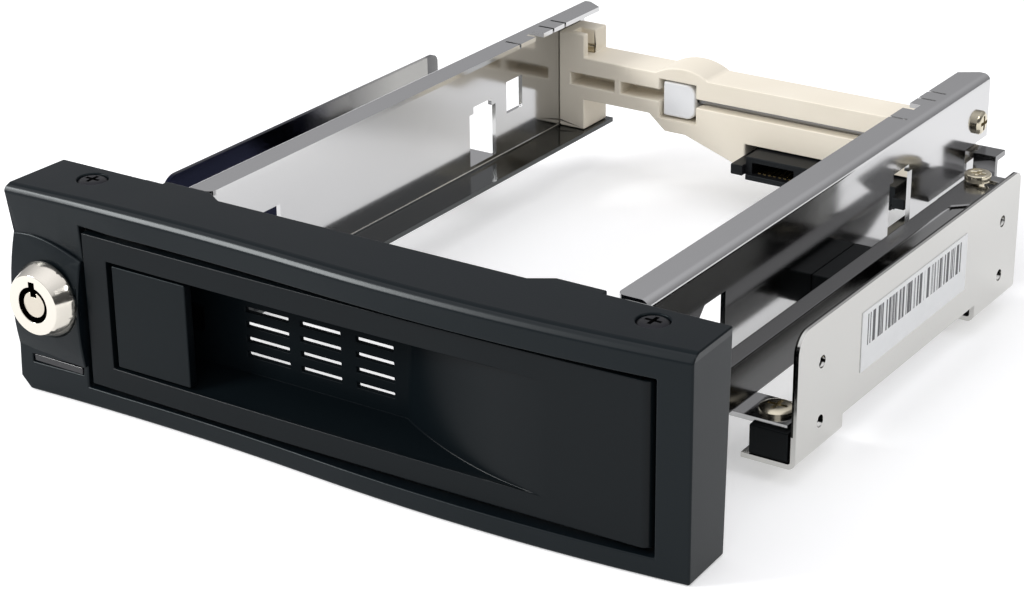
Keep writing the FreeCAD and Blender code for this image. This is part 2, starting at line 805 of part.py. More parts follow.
dock_front = bar_front - dock_reach
link_side = rail_out + link_out
link_low = tab_top + plate_screw_tall + slide_gap
sides = (("left", -1), ("right", 1))

# The bezel's blank: a plan outline with a hollow and a crest in front, drawn up leaning back
bezel = Piece("bezel_frame")
blank_front = Corner(-half_bezel, -(bezel_depth + bow_left), arc=hollow_radius, left=False)
blank_turn = Corner(-bow_turn_x, -(bezel_depth + bow_turn), arc=crest_radius)
bezel.pad("XY", 0, bezel_height,
          Outline(blank_front, blank_turn, Corner(half_bezel, -bezel_depth),
                  Corner(half_bezel - bezel_draft, cut_margin), Corner(bezel_draft - half_bezel, cut_margin)),
          slant=(0, face_lean, bezel_height))
bezel.pocket("XY", -cut_margin, bezel_height + cut_margin,
             rect(-half_bezel - cut_margin, 0, half_bezel + cut_margin, cut_margin * 3))


def top_front(edge):
    """The two edges between the bezel's top and its front."""
    middle = edge.valueAt((edge.FirstParameter + edge.LastParameter) / 2)
    is_top = abs(middle.z - bezel_height.value) < 0.01
    return is_top and middle.y < wall_back.value and abs(edge.BoundBox.ZLength) < 0.01 and edge.Length > 20


bezel.dress("Chamfer", strip_set_back, top_front, strip_height)

# The pad that carries the lock swells out of the left of the face
lean_low = face_lean * pad_low / bezel_height - bezel_depth - bow_left
lean_high = face_lean * pad_high / bezel_height - bezel_depth - bow_left
bezel.pad("YZ", -half_bezel, opening_left + pad_overrun,
          Outline(Corner(lean_high, pad_high, arc=pad_radius), Corner(lean_low, pad_low),
                  Corner(lean_low + pad_root, pad_low), Corner(lean_high + pad_root, pad_high)),
          slant=(opening_left_margin, 0, -pad_drop))

# Hollow back, door opening and the rims that hold the hinge pin
bezel.pocket("XZ", wall_back, cut_margin,
             rect(-bezel_inside, bezel_wall, bezel_inside, bezel_height - bezel_wall))
bezel.pocket("XZ", far_front, cut_margin, rect(opening_left, opening_low, opening_right, opening_top))
bezel.pad("XZ", wall_back, wall_back + rim_depth, rect(opening_left, opening_top, opening_right, rim_top))
bezel.pad("XZ", wall_back, wall_back + hinge_block_deep,
          rect(hinge_x - hinge_block, bezel_wall, hinge_x + hinge_block, opening_low))
bezel.pocket("XY", hinge_floor, rim_top, Ring(hinge_x, hinge_y, hinge_pin))
bezel.pocket("XZ", far_front, lock_back, Ring(lock_x, lock_z, lock_base_radius + hole_gap))
bezel.pocket("XZ", far_front, 0, Ring(lock_x, lock_z, lock_shank + hole_gap))
bezel.pocket("XZ", far_front, 0, rect(led_left, led_low, led_right, led_high))
for side in (-1, 1):
    post_x = led_middle + side * (led_length / 2 - led_post)
    post_z = led_board_high - led_post_drop
    bezel.pad("XZ", wall_back, led_board_front,
              rect(post_x - led_post, post_z - led_post, post_x + led_post, post_z + led_post))

# Sunk screws, the two tabs behind the top and the cut corner
for side in (-1, 1):
    top_screw = (side * bezel_screw_x, -bezel_screw_y)
    bezel.pocket("XY", bezel_height - screw_sink, bezel_height + cut_margin,
                 Ring(*top_screw, screw_head + hole_gap))
    bezel.pocket("XY", ear_top, bezel_height, Ring(*top_screw, screw_shank + hole_gap))
    tab_end = rear_tab_inner + rear_tab_width
    bezel.pad("XY", ear_top, bezel_height,
              Outline(Corner(side * rear_tab_inner, 0), Corner(side * tab_end, 0),
                      Corner(side * tab_end, rear_tab_reach),
                      Corner(side * (rear_tab_inner + rear_tab_slope), rear_tab_reach)))
bezel.pocket("XZ", far_front, cut_margin,
             Outline(Corner(-half_bezel - corner_cut, -corner_cut),
                     Corner(corner_cut * 2 - half_bezel, -corner_cut),
                     Corner(-half_bezel - corner_cut, corner_cut * 2)))

# Upright pin of the door
hinge = Piece("door_hinge_pin")
hinge.turn("Z", hinge_x, hinge_y, Corner(0, hinge_floor), Corner(hinge_pin, hinge_floor),
           Corner(hinge_pin, rim_top), Corner(0, rim_top))

# Door: a shallow tray with a knuckle at its right end
door = Piece("door_panel")
door.pad("XY", door_bottom, door_top,
         Outline(Corner(door_left, door_front, arc=door_bow),
                 Corner(door_right - door_corner, door_front + door_ease, arc=door_corner),
                 Corner(door_right, door_front + door_ease + door_corner),
                 Corner(door_right, door_rear), Corner(door_left, door_rear)))
door.pad("XY", door_bottom, door_top, Ring(hinge_x, hinge_y, hinge_boss))
door.pocket("XZ", door_front + door_plate, cut_margin,
            rect(door_left + door_skirt, door_bottom + door_skirt, hinge_x - hinge_boss - door_skirt,
                 door_top - door_skirt))
# Shell of the finger recess, then the recess with the scoop that rises to the face
shell_left = recess_left - shell_wall
shell_low = recess_bottom - shell_wall
shell_high = recess_top + shell_wall
door.pad("XZ", door_front + shell_root, shell_back,
         rect(shell_left, shell_low, recess_right + shell_wall, shell_high))
scoop_x = recess_left + scoop_start
scoop_front = door_front + scoop_ease
door.pocket("XY", recess_bottom, recess_top,
            Outline(Corner(recess_left, far_front), Corner(recess_right + scoop_over, far_front),
                    Corner(recess_right + scoop_over, scoop_front, arc=scoop_radius, left=False),
                    Corner(scoop_x, recess_back), Corner(recess_left, recess_back)))
floor_front = door_front + recess_floor_lip
door.pad("YZ", recess_left - shell_wall / 2, recess_right,
         Outline(Corner(floor_front, recess_bottom), Corner(floor_front, recess_bottom - shell_wall / 2),
                 Corner(recess_back + shell_wall / 2, recess_bottom - shell_wall / 2),
                 Corner(recess_back + shell_wall / 2, recess_bottom + recess_floor_rise),
                 Corner(recess_back, recess_bottom + recess_floor_rise)))
# Vent slots through the back of the recess
vents = []
for column in range(vent_columns):
    vent_x = recess_left + vent_first + vent_step * column
    vent_end = vent_x + vent_length - vent_shrink * column
    vents.append(rect(vent_x, vent_low, vent_end, vent_low + vent_height))
vent_cut, vent_sketch = door.pocket("XZ", recess_back - shell_wall, cut_margin, *vents)
rows_of_vents = door.feature("LinearPattern")
rows_of_vents.Originals = [vent_cut]
rows_of_vents.Direction = (vent_sketch, ["V_Axis"])
rows_of_vents.setExpression("Length", (vent_pitch * (vent_rows - 1)).text)
rows_of_vents.Occurrences = vent_rows
door.body.Tip = rows_of_vents
door.settle(rows_of_vents, False)
# Hinge hole, tail that drives the ejector, and room for the latch
door.pocket("XY", -cut_margin, bezel_height, Ring(hinge_x, hinge_y, hinge_pin + turn_gap))
tip_x = hinge_x + tail_radius.cos(tail_angle)
tip_y = hinge_y + tail_radius.sin(tail_angle)
off_x = tail_tip.sin(tail_angle)
off_y = tail_tip.cos(tail_angle)
root_x = hinge_x + tail_root.cos(tail_angle)
root_y = hinge_y + tail_root.sin(tail_angle)
door.pad("XY", tail_low, tail_high,
         Outline(Corner(root_x + off_x, root_y - off_y),
                 Corner(tip_x + off_x, tip_y - off_y, arc=tail_nose),
                 Corner(tip_x - off_x, tip_y + off_y), Corner(root_x - off_x, root_y + off_y)))
door.pocket("YZ", shell_left - slide_gap, recess_left + latch_left_gap * 2,
            rect(door_front + door_plate, arm_low - arm_window, cut_margin, arm_high + arm_window))
door.pocket("XY", shell_low, shell_high, Ring(latch_x, latch_y, latch_pin))

# Latch plate with its knuckle and the arm that reaches behind the bezel
latch = Piece("latch_pull")
latch_low = recess_bottom + latch_end_gap
latch_high = recess_top - latch_end_gap
latch.pad("XZ", door_front, door_front + latch_thick, rect(latch_left, latch_low, latch_right, latch_high))
latch.pad("XY", latch_barrel_low, latch_high, Ring(latch_x, latch_y, latch_barrel))
arm_end = opening_left + slide_gap
latch.pad("XY", arm_low, arm_high,
          Outline(Corner(latch_x + arm_root, latch_y), Corner(latch_x - arm_heel, latch_y),
                  Corner(latch_x - latch_barrel, arm_front), Corner(arm_end, arm_front),
                  Corner(arm_end, arm_back), Corner(latch_x + arm_root, arm_back)))
latch.pocket("XY", -cut_margin, bezel_height, Ring(latch_x, latch_y, latch_pin + turn_gap))
latch_axle = Piece("latch_pivot_pin")
latch_axle.turn("Z", latch_x, latch_y, Corner(0, shell_low), Corner(latch_pin, shell_low),
                Corner(latch_pin, shell_high), Corner(0, shell_high))
# Leaf spring on the back of the recess, bearing on the latch arm
leaf = Piece("latch_spring")
leaf_z = (arm_low + arm_high) / 2
leaf_end = recess_left + slide_gap * 2
leaf_knee = leaf_end + latch_spring_run
leaf.pad("XY", leaf_z - latch_spring_width / 2, leaf_z + latch_spring_width / 2,
         Outline(Corner(leaf_knee + latch_spring_foot, recess_back), Corner(leaf_knee, recess_back),
                 Corner(leaf_end, arm_back + slide_gap + latch_spring_thick),
                 Corner(leaf_end, arm_back + slide_gap),
                 Corner(leaf_knee, recess_back - latch_spring_thick),
                 Corner(leaf_knee + latch_spring_foot, recess_back - latch_spring_thick)))

# Key lock: barrel, plug with its ring keyway, nut, cam and cam screw
barrel = Piece("lock_body")
barrel_end = cam_front - lock_tail_gap
barrel.turn("Y", lock_x, lock_z, Corner(lock_bore, lock_front), Corner(lock_face_radius, lock_front),
            Corner(lock_base_radius, lock_back - lock_base_rim), Corner(lock_base_radius, lock_back),
            Corner(lock_shank, lock_back), Corner(lock_shank, barrel_end), Corner(lock_bore, barrel_end))
notch_low = lock_z + lock_bore - key_notch_depth
barrel.pocket("XZ", far_front, lock_front + keyway_depth,
              rect(lock_x - key_notch_width / 2, notch_low, lock_x + key_notch_width / 2,
                   notch_low + key_notch_depth * 2))
plug = Piece("lock_plug")
plug_radius = lock_bore - turn_gap
keyway_end = lock_front + keyway_depth
plug_bore = cam_screw_shank + hole_gap
bore_end = cam_back - cam_screw_length - hole_gap
post_front = lock_front + post_set_back
plug.turn("Y", lock_x, lock_z, Corner(0, post_front), Corner(lock_post, post_front),
          Corner(lock_post, keyway_end), Corner(plug_radius, keyway_end), Corner(plug_radius, cam_front),
          Corner(cam_stub, cam_front), Corner(cam_stub, cam_back), Corner(plug_bore, cam_back),
          Corner(plug_bore, bore_end), Corner(0, bore_end))
plug.pocket("XZ", far_front, keyway_end,
            rect(lock_x - key_notch_width / 2, lock_z + lock_post - key_notch_depth,
                 lock_x + key_notch_width / 2, lock_z + lock_post + key_notch_depth))
nut = Piece("lock_nut")
nut_point = lock_nut_flat * (2 / math.sqrt(3))
nut.pad("XZ", wall_back, wall_back + lock_nut_thick,
        Outline(Corner(lock_x, lock_z - nut_point), Corner(lock_x + lock_nut_flat, lock_z - nut_point / 2),
                Corner(lock_x + lock_nut_flat, lock_z + nut_point / 2), Corner(lock_x, lock_z + nut_point),
                Corner(lock_x - lock_nut_flat, lock_z + nut_point / 2),
                Corner(lock_x - lock_nut_flat, lock_z - nut_point / 2)))
nut.pocket("XZ", far_front, cut_margin, Ring(lock_x, lock_z, lock_shank + hole_gap / 2))
cam = Piece("lock_cam")
cam.pad("XZ", cam_front, cam_back,
        Outline(Corner(lock_x + cam_half, lock_z - cam_half, cam_heel_round),
                Corner(lock_x + cam_half, lock_z + cam_reach, cam_tip_round),
                Corner(lock_x - cam_half, lock_z + cam_reach, cam_tip_round),
                Corner(lock_x - cam_half, lock_z - cam_half, cam_heel_round)))
cam.pocket("XZ", far_front, cut_margin, Ring(lock_x, lock_z, cam_stub))
cam_screw = Piece("cam_screw")
cam_screw_tip = cam_back - cam_screw_length
cam_screw.turn("Y", lock_x, lock_z, Corner(0, cam_screw_tip), Corner(cam_screw_shank, cam_screw_tip),
               Corner(cam_screw_shank, cam_back), Corner(cam_screw_head, cam_back),
               Corner(cam_screw_head, cam_back + cam_screw_thick), Corner(0, cam_back + cam_screw_thick))

# Light bar, its lamps and their board
lens = Piece("led_lens")
lens.pad("XZ", -(bezel_depth + lens_front), lens_back,
         rect(led_left + hole_gap, led_low + hole_gap, led_right - hole_gap, led_high - hole_gap))
lens.pad("XZ", wall_back, lens_back,
         rect(led_left - hole_gap, led_low - lens_flange, led_right + lens_flange, led_high + lens_flange))
lamps = []
for side in (-1, 1):
    lamp_x = led_middle + side * led_spacing / 2
    lamps.append(block(f"lamp{len(lamps)}", lamp_x - led_half, lamp_x + led_half, lens_back + hole_gap,
                       led_board_front, led_z - led_half, led_z + led_half, False))
group("status_leds", lamps)
block("led_board", led_left, led_right, led_board_front, led_board_front + led_board_thick,
      led_board_low, led_board_high)

# Rails: a wall with a ledge below and a flange above, both turned in under and over the drive
for name, side in sides:
    rail = Piece(f"{name}_rail")
    rail.pad("XZ", rail_front, rail_rear,
             Outline(Corner(side * (rail_in - ledge_width), ledge_low),
                     Corner(side * rail_out, ledge_low, outer_bend),
                     Corner(side * rail_out, flange_top, outer_bend),
                     Corner(side * (rail_in - flange_width), flange_top),
                     Corner(side * (rail_in - flange_width), flange_low),
                     Corner(side * rail_in, flange_low, bend), Corner(side * rail_in, ledge_top, bend),
                     Corner(side * (rail_in - ledge_width), ledge_top)))
    # Front end: no flange, and brackets with ears that the bezel screws hold
    rail.pocket("XZ", -cut_margin, flange_front,
                rect(side * (rail_in - cut_margin), flange_low - bracket_lap / 2,
                     side * (rail_out + cut_margin), flange_top + cut_margin))
    rail.pad("YZ", rail_in * side if side > 0 else -rail_out, rail_out if side > 0 else -rail_in,
             rect(rail_front, flange_low - bracket_lap, bracket_back, ear_top),
             rect(rail_front, bezel_wall, bracket_back, ledge_top + bracket_lap))
    for ear_end, ear_low in ((bezel_screw_x + ear_edge, ear_top - steel), (rail_out + low_ear, bezel_wall)):
        rail.pad("XY", ear_low, ear_low + steel,
                 Outline(Corner(side * rail_in, rail_front), Corner(side * rail_out, rail_front),
                         Corner(side * rail_out, -(bezel_screw_y + ear_front_edge)),
                         Corner(side * ear_end, -(bezel_screw_y + ear_front_edge)),
                         Corner(side * ear_end, 0), Corner(side * (rail_out + ear_edge), ear_back),
                         Corner(side * rail_in, ear_back)))
    rail.pocket("XY", ear_top - steel * 2, ear_top + steel,
                Ring(side * bezel_screw_x, -bezel_screw_y, screw_shank + hole_gap))
    # Cut corners of the flange
    flange_edge = rail_in - flange_width
    rail.pocket("XY", flange_low - bend, flange_top + cut_margin,
                Outline(Corner(side * (flange_edge - flange_cut), flange_front - flange_cut),
                        Corner(side * (flange_edge + flange_cut * 2), flange_front - flange_cut),
                        Corner(side * (flange_edge - flange_cut), flange_front + flange_cut * 2)),
                Outline(Corner(side * (flange_edge - flange_cut), rail_rear + flange_cut),
                        Corner(side * (flange_edge + flange_cut * 2), rail_rear + flange_cut),
                        Corner(side * (flange_edge - flange_cut), rail_rear - flange_cut * 2)))
    # Slits and a notch that leave a springy finger in the flange, over the drive
    last_slit = rail_rear - slit_rear
    finger_rear = last_slit - slit_step
    finger_front = finger_rear - finger_length
    notch_front = finger_front + finger_notch_at
    slit_in = flange_edge - cut_margin
    rail.pocket("XY", flange_low - bend, flange_top + cut_margin,
                *[rect(side * slit_in, at, side * (flange_edge + slit_deep), at + slit_width)
                  for at in (finger_front, finger_rear, last_slit)],
                rect(side * slit_in, notch_front, side * (flange_edge + finger_notch_deep),
                     notch_front + finger_notch))
    # Slots whose metal is folded out as tabs, then the lever's notch on the right and a window on the left
    front_slot_end = front_slot_y + front_slot_width
    rear_slot_end = rear_slot_y + rear_slot_width
    slot_top = right_slot_top if side > 0 else left_slot_top
    shoulder = slot_top - rear_slot_cut
    wall_low = side * rail_in - cut_margin / 2
    rail.pocket("YZ", wall_low, wall_low + cut_margin,
                Outline(Corner(front_slot_y, tab_top), Corner(front_slot_end, tab_top),
                        Corner(front_slot_end, slot_top), Corner(front_slot_y + front_slot_cut, slot_top),
                        Corner(front_slot_y, slot_top - front_slot_cut)),
                Outline(Corner(rear_slot_y, tab_top), Corner(rear_slot_end, tab_top),
                        Corner(rear_slot_end, shoulder), Corner(rear_slot_end - rear_slot_cut, shoulder),
                        Corner(rear_slot_end - rear_slot_cut, slot_top),
                        Corner(rear_slot_y + rear_slot_cut, slot_top),
                        Corner(rear_slot_y + rear_slot_cut, shoulder), Corner(rear_slot_y, shoulder)),
                Ring(bar_screw_y, bar_screw_z, bar_screw_shank + hole_gap))
    for tab_y, width in ((front_tab_y, front_slot_width), (rear_tab_y, rear_slot_width)):
        tab_half = width / 2 - tab_gap
        rail.pad("XY", tab_low, tab_top,
                 rect(side * (rail_in + bend), tab_y - tab_half,
                      side * (spacer_x + tab_edge), tab_y + tab_half))
        rail.pocket("XY", tab_low - steel / 4, tab_top + steel,
                    Ring(side * spacer_x, tab_y, plate_screw_shank + hole_gap))
    if side > 0:
        rail.pocket("YZ", wall_low, wall_low + cut_margin,
                    rect(lever_front - lever_notch_front, lever_low - lever_notch_gap,
                         rail_rear + cut_margin, lever_top + lever_notch_gap))
    else:
        rail.pocket("YZ", wall_low, wall_low + cut_margin,
                    rect(window_y, window_low, window_y + window_width, window_high))

# Side plates with feet turned in under the rails' tabs, and the case screw holes
foot_edge = half_bay - foot_width


def plate_corner(at_y):
    """Choose the edge across a plate's top corner at a place along it."""
    def choose(edge):
        middle = edge.valueAt((edge.FirstParameter + edge.LastParameter) / 2)
        is_corner = abs(middle.y - at_y.value) < 0.01 and abs(middle.z - plate_top.value) < 0.01
        return is_corner and edge.BoundBox.YLength < 0.01
    return choose


for name, side in sides:
    plate = Piece(f"{name}_side_plate")
    plate.pad("XZ", plate_front, plate_rear,
              Outline(Corner(side * half_bay, plate_top), Corner(side * half_bay, plate_low, outer_bend),
                      Corner(side * foot_edge, plate_low), Corner(side * foot_edge, foot_top),
                      Corner(side * plate_in, foot_top, bend), Corner(side * plate_in, plate_top)))
    plate.dress("Fillet", plate_round, plate_corner(plate_front))
    plate.dress("Fillet", plate_rear_round, plate_corner(plate_rear))
    plate_cut = side * foot_edge - cut_margin * 2
    plate.pocket("YZ", plate_cut, plate_cut + cut_margin * 4,
                 rect(plate_front + front_foot, plate_low - cut_margin, plate_rear - rear_foot, plate_middle),
                 *[Ring(plate_front + case_hole_y + case_hole_pitch_y * i,
                        case_hole_z + case_hole_pitch_z * j, case_hole_radius)
                   for i in range(2) for j in range(2)])
label_y = plate_front + label_front
block("side_label", half_bay, half_bay + label_thick, label_y, label_y + label_length,
      label_low, label_low + label_tall)

# Black spacer blocks between the feet and the tabs, each with its screw
spacers = []
plate_screws = []
for name, side in sides:
    for tab_y in (front_tab_y, rear_tab_y):
        spacer = Piece(f"spacer{len(spacers)}", False)
        screw_tip = tab_top - plate_screw_length
        spacer.pad("XY", foot_top, tab_low,
                   rect(side * (spacer_x - spacer_inner), tab_y - spacer_half,
                        side * (plate_in - bend - hole_gap), tab_y + spacer_half))
        spacer.pocket("XY", screw_tip - hole_gap, tab_low,
                      Ring(side * spacer_x, tab_y, plate_screw_shank + hole_gap))
        spacers.append(spacer.body)
        screw = Piece(f"plate_screw{len(plate_screws)}", False)
        head_top = tab_top + plate_screw_tall
        screw.turn("Z", side * spacer_x, tab_y, Corner(0, screw_tip), Corner(plate_screw_shank, screw_tip),
                   Corner(plate_screw_shank, tab_top), Corner(plate_screw_head, tab_top),
                   Corner(plate_screw_head, head_top), Corner(0, head_top))
        plate_screws.append(screw.body)
group("plate_spacers", spacers)
group("plate_screws", plate_screws)

# Bezel screws, sunk in its top and holding the rails' ears
bezel_screws = []
screw_seat = bezel_height - screw_sink
screw_tip = ear_top - steel - screw_reach
for name, side in sides:
    screw = Piece(f"bezel_screw{len(bezel_screws)}", False)
    screw.turn("Z", side * bezel_screw_x, -bezel_screw_y, Corner(0, screw_tip),
               Corner(screw_shank, screw_tip), Corner(screw_shank, screw_seat),
               Corner(screw_head, screw_seat), Corner(screw_head, bezel_height), Corner(0, bezel_height))
    screw.pocket("XY", bezel_height - drive_depth, bezel_height,
                 cross(side * bezel_screw_x, -bezel_screw_y, drive_arm, drive_half))
    bezel_screws.append(screw.body)
group("bezel_screws", bezel_screws)

# Crossbar between the rails, with the hump, the lightening slots and the ejector's slot
bar = Piece("rear_crossbar")
bar_end = rail_in - bar_end_gap
post_edge = bar_end - post_width
post_low = ledge_top + post_lift
bar.pad("XZ", bar_front, bar_back,
        Outline(Corner(-bar_end, post_low, bend), Corner(-post_edge, post_low), Corner(-post_edge, neck_low),
                Corner(-neck_end, neck_low), Corner(-step_start, step_low), Corner(-step_end, step_low),
                Corner(-bar_low_start, bar_low), Corner(-dock_left - dock_gap, bar_low),
                Corner(-dock_left - dock_gap, dock_low + dock_tall + dock_gap),
                Corner(dock_right + dock_gap, dock_low + dock_tall + dock_gap),
                Corner(dock_right + dock_gap, post_low), Corner(bar_end, post_low, bend),
                Corner(bar_end, post_top), Corner(post_edge, post_top), Corner(post_edge, neck_top),
                Corner(-hump_right, neck_top, arc=hump_radius), Corner(-hump_left, neck_top),
                Corner(-post_edge, neck_top), Corner(-post_edge, post_top), Corner(-bar_end, post_top)))
slot_back = bar_back - bar_rear_wall
post_slot_y = bar_front + post_slot_front
bar.pocket("XY", neck_top, post_top + cut_margin,
           rect(-post_edge - post_slot_deep, post_slot_y,
                cut_margin - post_edge, post_slot_y + post_slot_width))
bar.pocket("XZ", bar_front, bar_front + lightening_depth,
           rect(-lightening_one, lightening_low, lightening_one_length - lightening_one, lightening_high),
           rect(-lightening_two, lightening_low, lightening_two_length - lightening_two, lightening_high))
nest_left = -pusher_left - pusher_gap
nest_right = pusher_width - pusher_left + pusher_gap
bar.pocket("XZ", bar_front, slot_back,
           rect(nest_left, pusher_low - pusher_gap, nest_right, pusher_low + pusher_tall + pusher_gap))
bar.pocket("XZ", bar_front, slot_back,
           rect(nest_right - slide_gap, lever_low - lever_slot_gap,
                bar_end + cut_margin, lever_top + lever_slot_gap))
bar.pocket("XZ", bar_front, bar_back + cut_margin,
           rect(lever_slot_open, lever_low - lever_slot_gap,
                bar_end + cut_margin, lever_top + lever_slot_gap))
bar.pocket("XY", lever_pin_low, bezel_height, Ring(lever_pivot_x, lever_y, lever_pin))
for name, side in sides:
    screw_end = bar_end - bar_screw_length
    low, high = (screw_end, bar_end) if side > 0 else (-bar_end, -screw_end)
    bar.pocket("YZ", low, high, Ring(bar_screw_y, bar_screw_z, bar_screw_shank))
board_screw_spots = (-board_screw_one, board_screw_two)
bar.pocket("XZ", bar_back + board_thick - board_screw_length, bar_back,
           *[Ring(x, board_screw_z, board_screw_shank) for x in board_screw_spots])

# Screws through the rails into the crossbar
bar_screws = []
head_end = rail_out + bar_screw_tall
screw_tip = bar_end - bar_screw_length
for name, side in sides:
    screw = Piece(f"crossbar_screw{len(bar_screws)}", False)
    screw.turn("X", bar_screw_y, bar_screw_z, Corner(0, side * screw_tip),
               Corner(bar_screw_shank, side * screw_tip), Corner(bar_screw_shank, side * rail_out),
               Corner(bar_screw_head, side * rail_out), Corner(bar_screw_head, side * head_end),
               Corner(0, side * head_end))
    low, high = (head_end - drive_depth, head_end) if side > 0 else (-head_end, drive_depth - head_end)
    screw.pocket("YZ", low, high, cross(bar_screw_y, bar_screw_z, drive_arm, drive_half))
    bar_screws.append(screw.body)
group("crossbar_screws", bar_screws)

# Ejector lever: a flat bar in the crossbar's slot, folded down outside the right rail and then forward
lever = Piece("ejector_lever")
arm_in = rail_out + lever_off_rail
arm_out = arm_in + lever_arm_width
arm_start = lever_y - lever_arm_front
drop_out = arm_in + lever_drop_width
drop_back = lever_front + lever_thick
collar_top = link_top - steel - slide_gap
arm_top = collar_top - link_pin_collar_tall
arm_low = arm_top - lever_thick
lever.pad("XY", lever_low, lever_top,
          Outline(Corner(-lever_tip, lever_front), Corner(drop_out, lever_front),
                  Corner(drop_out, lever_back), Corner(-lever_tip, lever_back)))
lever.pad("XY", arm_low, lever_low, rect(arm_in, lever_front, drop_out, drop_back))
lever.pad("XY", arm_low, arm_top,
          Outline(Corner(arm_in, arm_start), Corner(arm_out, arm_start, lever_arm_round),
                  Corner(arm_out, lever_front - lever_arm_taper), Corner(drop_out, drop_back),
                  Corner(arm_in, drop_back)))
lever.pocket("XY", lever_low - steel, lever_top + steel, Ring(lever_pivot_x, lever_y, lever_pin + turn_gap))
pin_x = rail_out + link_pin_x
pin_y = lever_y - link_pin_y
lever.pocket("XY", arm_low - steel, arm_top + steel, Ring(pin_x, pin_y, link_pin_radius))
pivot = Piece("lever_pivot_pin")
pivot.turn("Z", lever_pivot_x, lever_y, Corner(0, lever_pin_low), Corner(lever_pin, lever_pin_low),
           Corner(lever_pin, neck_top), Corner(0, neck_top))
pusher = Piece("ejector_pusher")
pusher_y = bar_front + pusher_front
pusher_right = pusher_width - pusher_left
pusher_high = pusher_low + pusher_tall
pusher.pad("XZ", pusher_y, pusher_y + pusher_deep,
           Outline(Corner(-pusher_left, pusher_low), Corner(pusher_right, pusher_low, pusher_round),
                   Corner(pusher_right, pusher_high, pusher_round), Corner(-pusher_left, pusher_high)))
pusher.pocket("YZ", -lever_tip - pusher_slit_gap, pusher_right + cut_margin,
              rect(lever_front - pusher_slit_gap, lever_low - pusher_slit_gap,
                   pusher_y + pusher_deep + cut_margin, lever_top + pusher_slit_gap))

# Pin from above through the link's slot, with a collar on the lever's arm
joint_pin = Piece("link_pin")
pin_head_low = link_top + slide_gap
pin_top = pin_head_low + link_pin_head_tall
joint_pin.turn("Z", pin_x, pin_y, Corner(0, arm_low), Corner(link_pin_radius, arm_low),
               Corner(link_pin_radius, arm_top), Corner(link_pin_collar, arm_top),
               Corner(link_pin_collar, collar_top), Corner(link_pin_radius, collar_top),
               Corner(link_pin_radius, pin_head_low), Corner(link_pin_head, pin_head_low),
               Corner(link_pin_head, pin_top), Corner(0, pin_top))
joint_pin.pocket("XY", pin_top - drive_depth, pin_top, cross(pin_x, pin_y, drive_arm, drive_half))

# Ejector link: a folded strip with a tongue behind and a foot that the door's tail pushes
link = Piece("ejector_link")
link_in = link_side - link_width
tongue_out = link_in + tongue_width
slot_half = link_pin_radius + link_pin_play
slot_right = pin_x + link_pin_drift + link_pin_radius + link_pin_play
tongue_front = pin_y - tongue_ahead
tongue_rear = pin_y + tongue_behind
link_rear = pin_y - link_rear_gap
link.pad("XY", link_top - steel, link_top,
         Outline(Corner(link_in, -link_front), Corner(link_side, -link_front),
                 Corner(link_side, tongue_front), Corner(tongue_out, tongue_front + link_taper),
                 Corner(tongue_out, tongue_rear, link_width / 2),
                 Corner(link_in, tongue_rear, link_width / 2)))
link.pad("YZ", link_side - steel, link_side,
         Outline(Corner(-link_front, link_low), Corner(link_rear - link_taper * 2, link_low),
                 Corner(link_rear, link_top - link_taper), Corner(link_rear, link_top),
                 Corner(-link_front, link_top)))
foot_front = hinge_y + tail_radius.sin(tail_angle) + tail_tip + link_lost_motion
link.pad("XY", link_foot_low, link_foot_low + link_foot_thick,
         Outline(Corner(link_side - steel, -link_front),
                 Corner(link_side - steel, foot_front), Corner(tip_x + link_foot_edge, foot_front),
                 Corner(tip_x + link_foot_edge, foot_front + link_taper / 2), Corner(link_side, link_taper)))
link.pocket("XY", link_top - steel * 2, link_top + steel,
            rect(pin_x - slot_half, pin_y - slot_half, slot_right, pin_y + slot_half))
guide = block("link_guide", rail_out, link_side - steel - guide_gap, guide_front, guide_front + guide_length,
              guide_low, link_top - steel - guide_gap)

# Docking connector with two slots, a lip below them and a guide horn at each end
dock = Piece("drive_connector")
dock_top = dock_low + dock_tall
dock_start = horn_width - dock_left
dock_end = dock_right - horn_width
horn_low = dock_low + horn_lift
horn_high = horn_low + horn_tall
dock.pad("XZ", dock_front, bar_back, rect(dock_start, dock_low, dock_end, dock_top))
dock.pad("XZ", dock_front - lip_reach, dock_front,
         rect(dock_start + dock_gap, dock_low, dock_end - dock_gap, dock_low + lip_tall))
dock.pad("XZ", dock_front - horn_reach, bar_back,
         rect(-dock_left, horn_low, dock_start, horn_high), rect(dock_end, horn_low, dock_right, horn_high))
slot_low = dock_low + (dock_tall - dock_slot_tall) / 2
data_x = dock_data_start - dock_left
power_x = dock_power_start - dock_left
dock.pocket("XZ", dock_front, dock_front + dock_slot_deep,
            rect(data_x, slot_low, data_x + dock_data_length, slot_low + dock_slot_tall),
            rect(power_x, slot_low, power_x + dock_power_length, slot_low + dock_slot_tall))
contacts = []
contact_y = dock_front + contact_set_back
for first_x, count in ((data_x, data_ways), (power_x, power_ways)):
    for i in range(count):
        start = first_x + contact_start - contact_width / 2 + contact_pitch * i
        contacts.append(block(f"contact{len(contacts)}", start, start + contact_width, contact_y,
                              contact_y + contact_length, slot_low, slot_low + contact_thick, False))
group("connector_contacts", contacts)

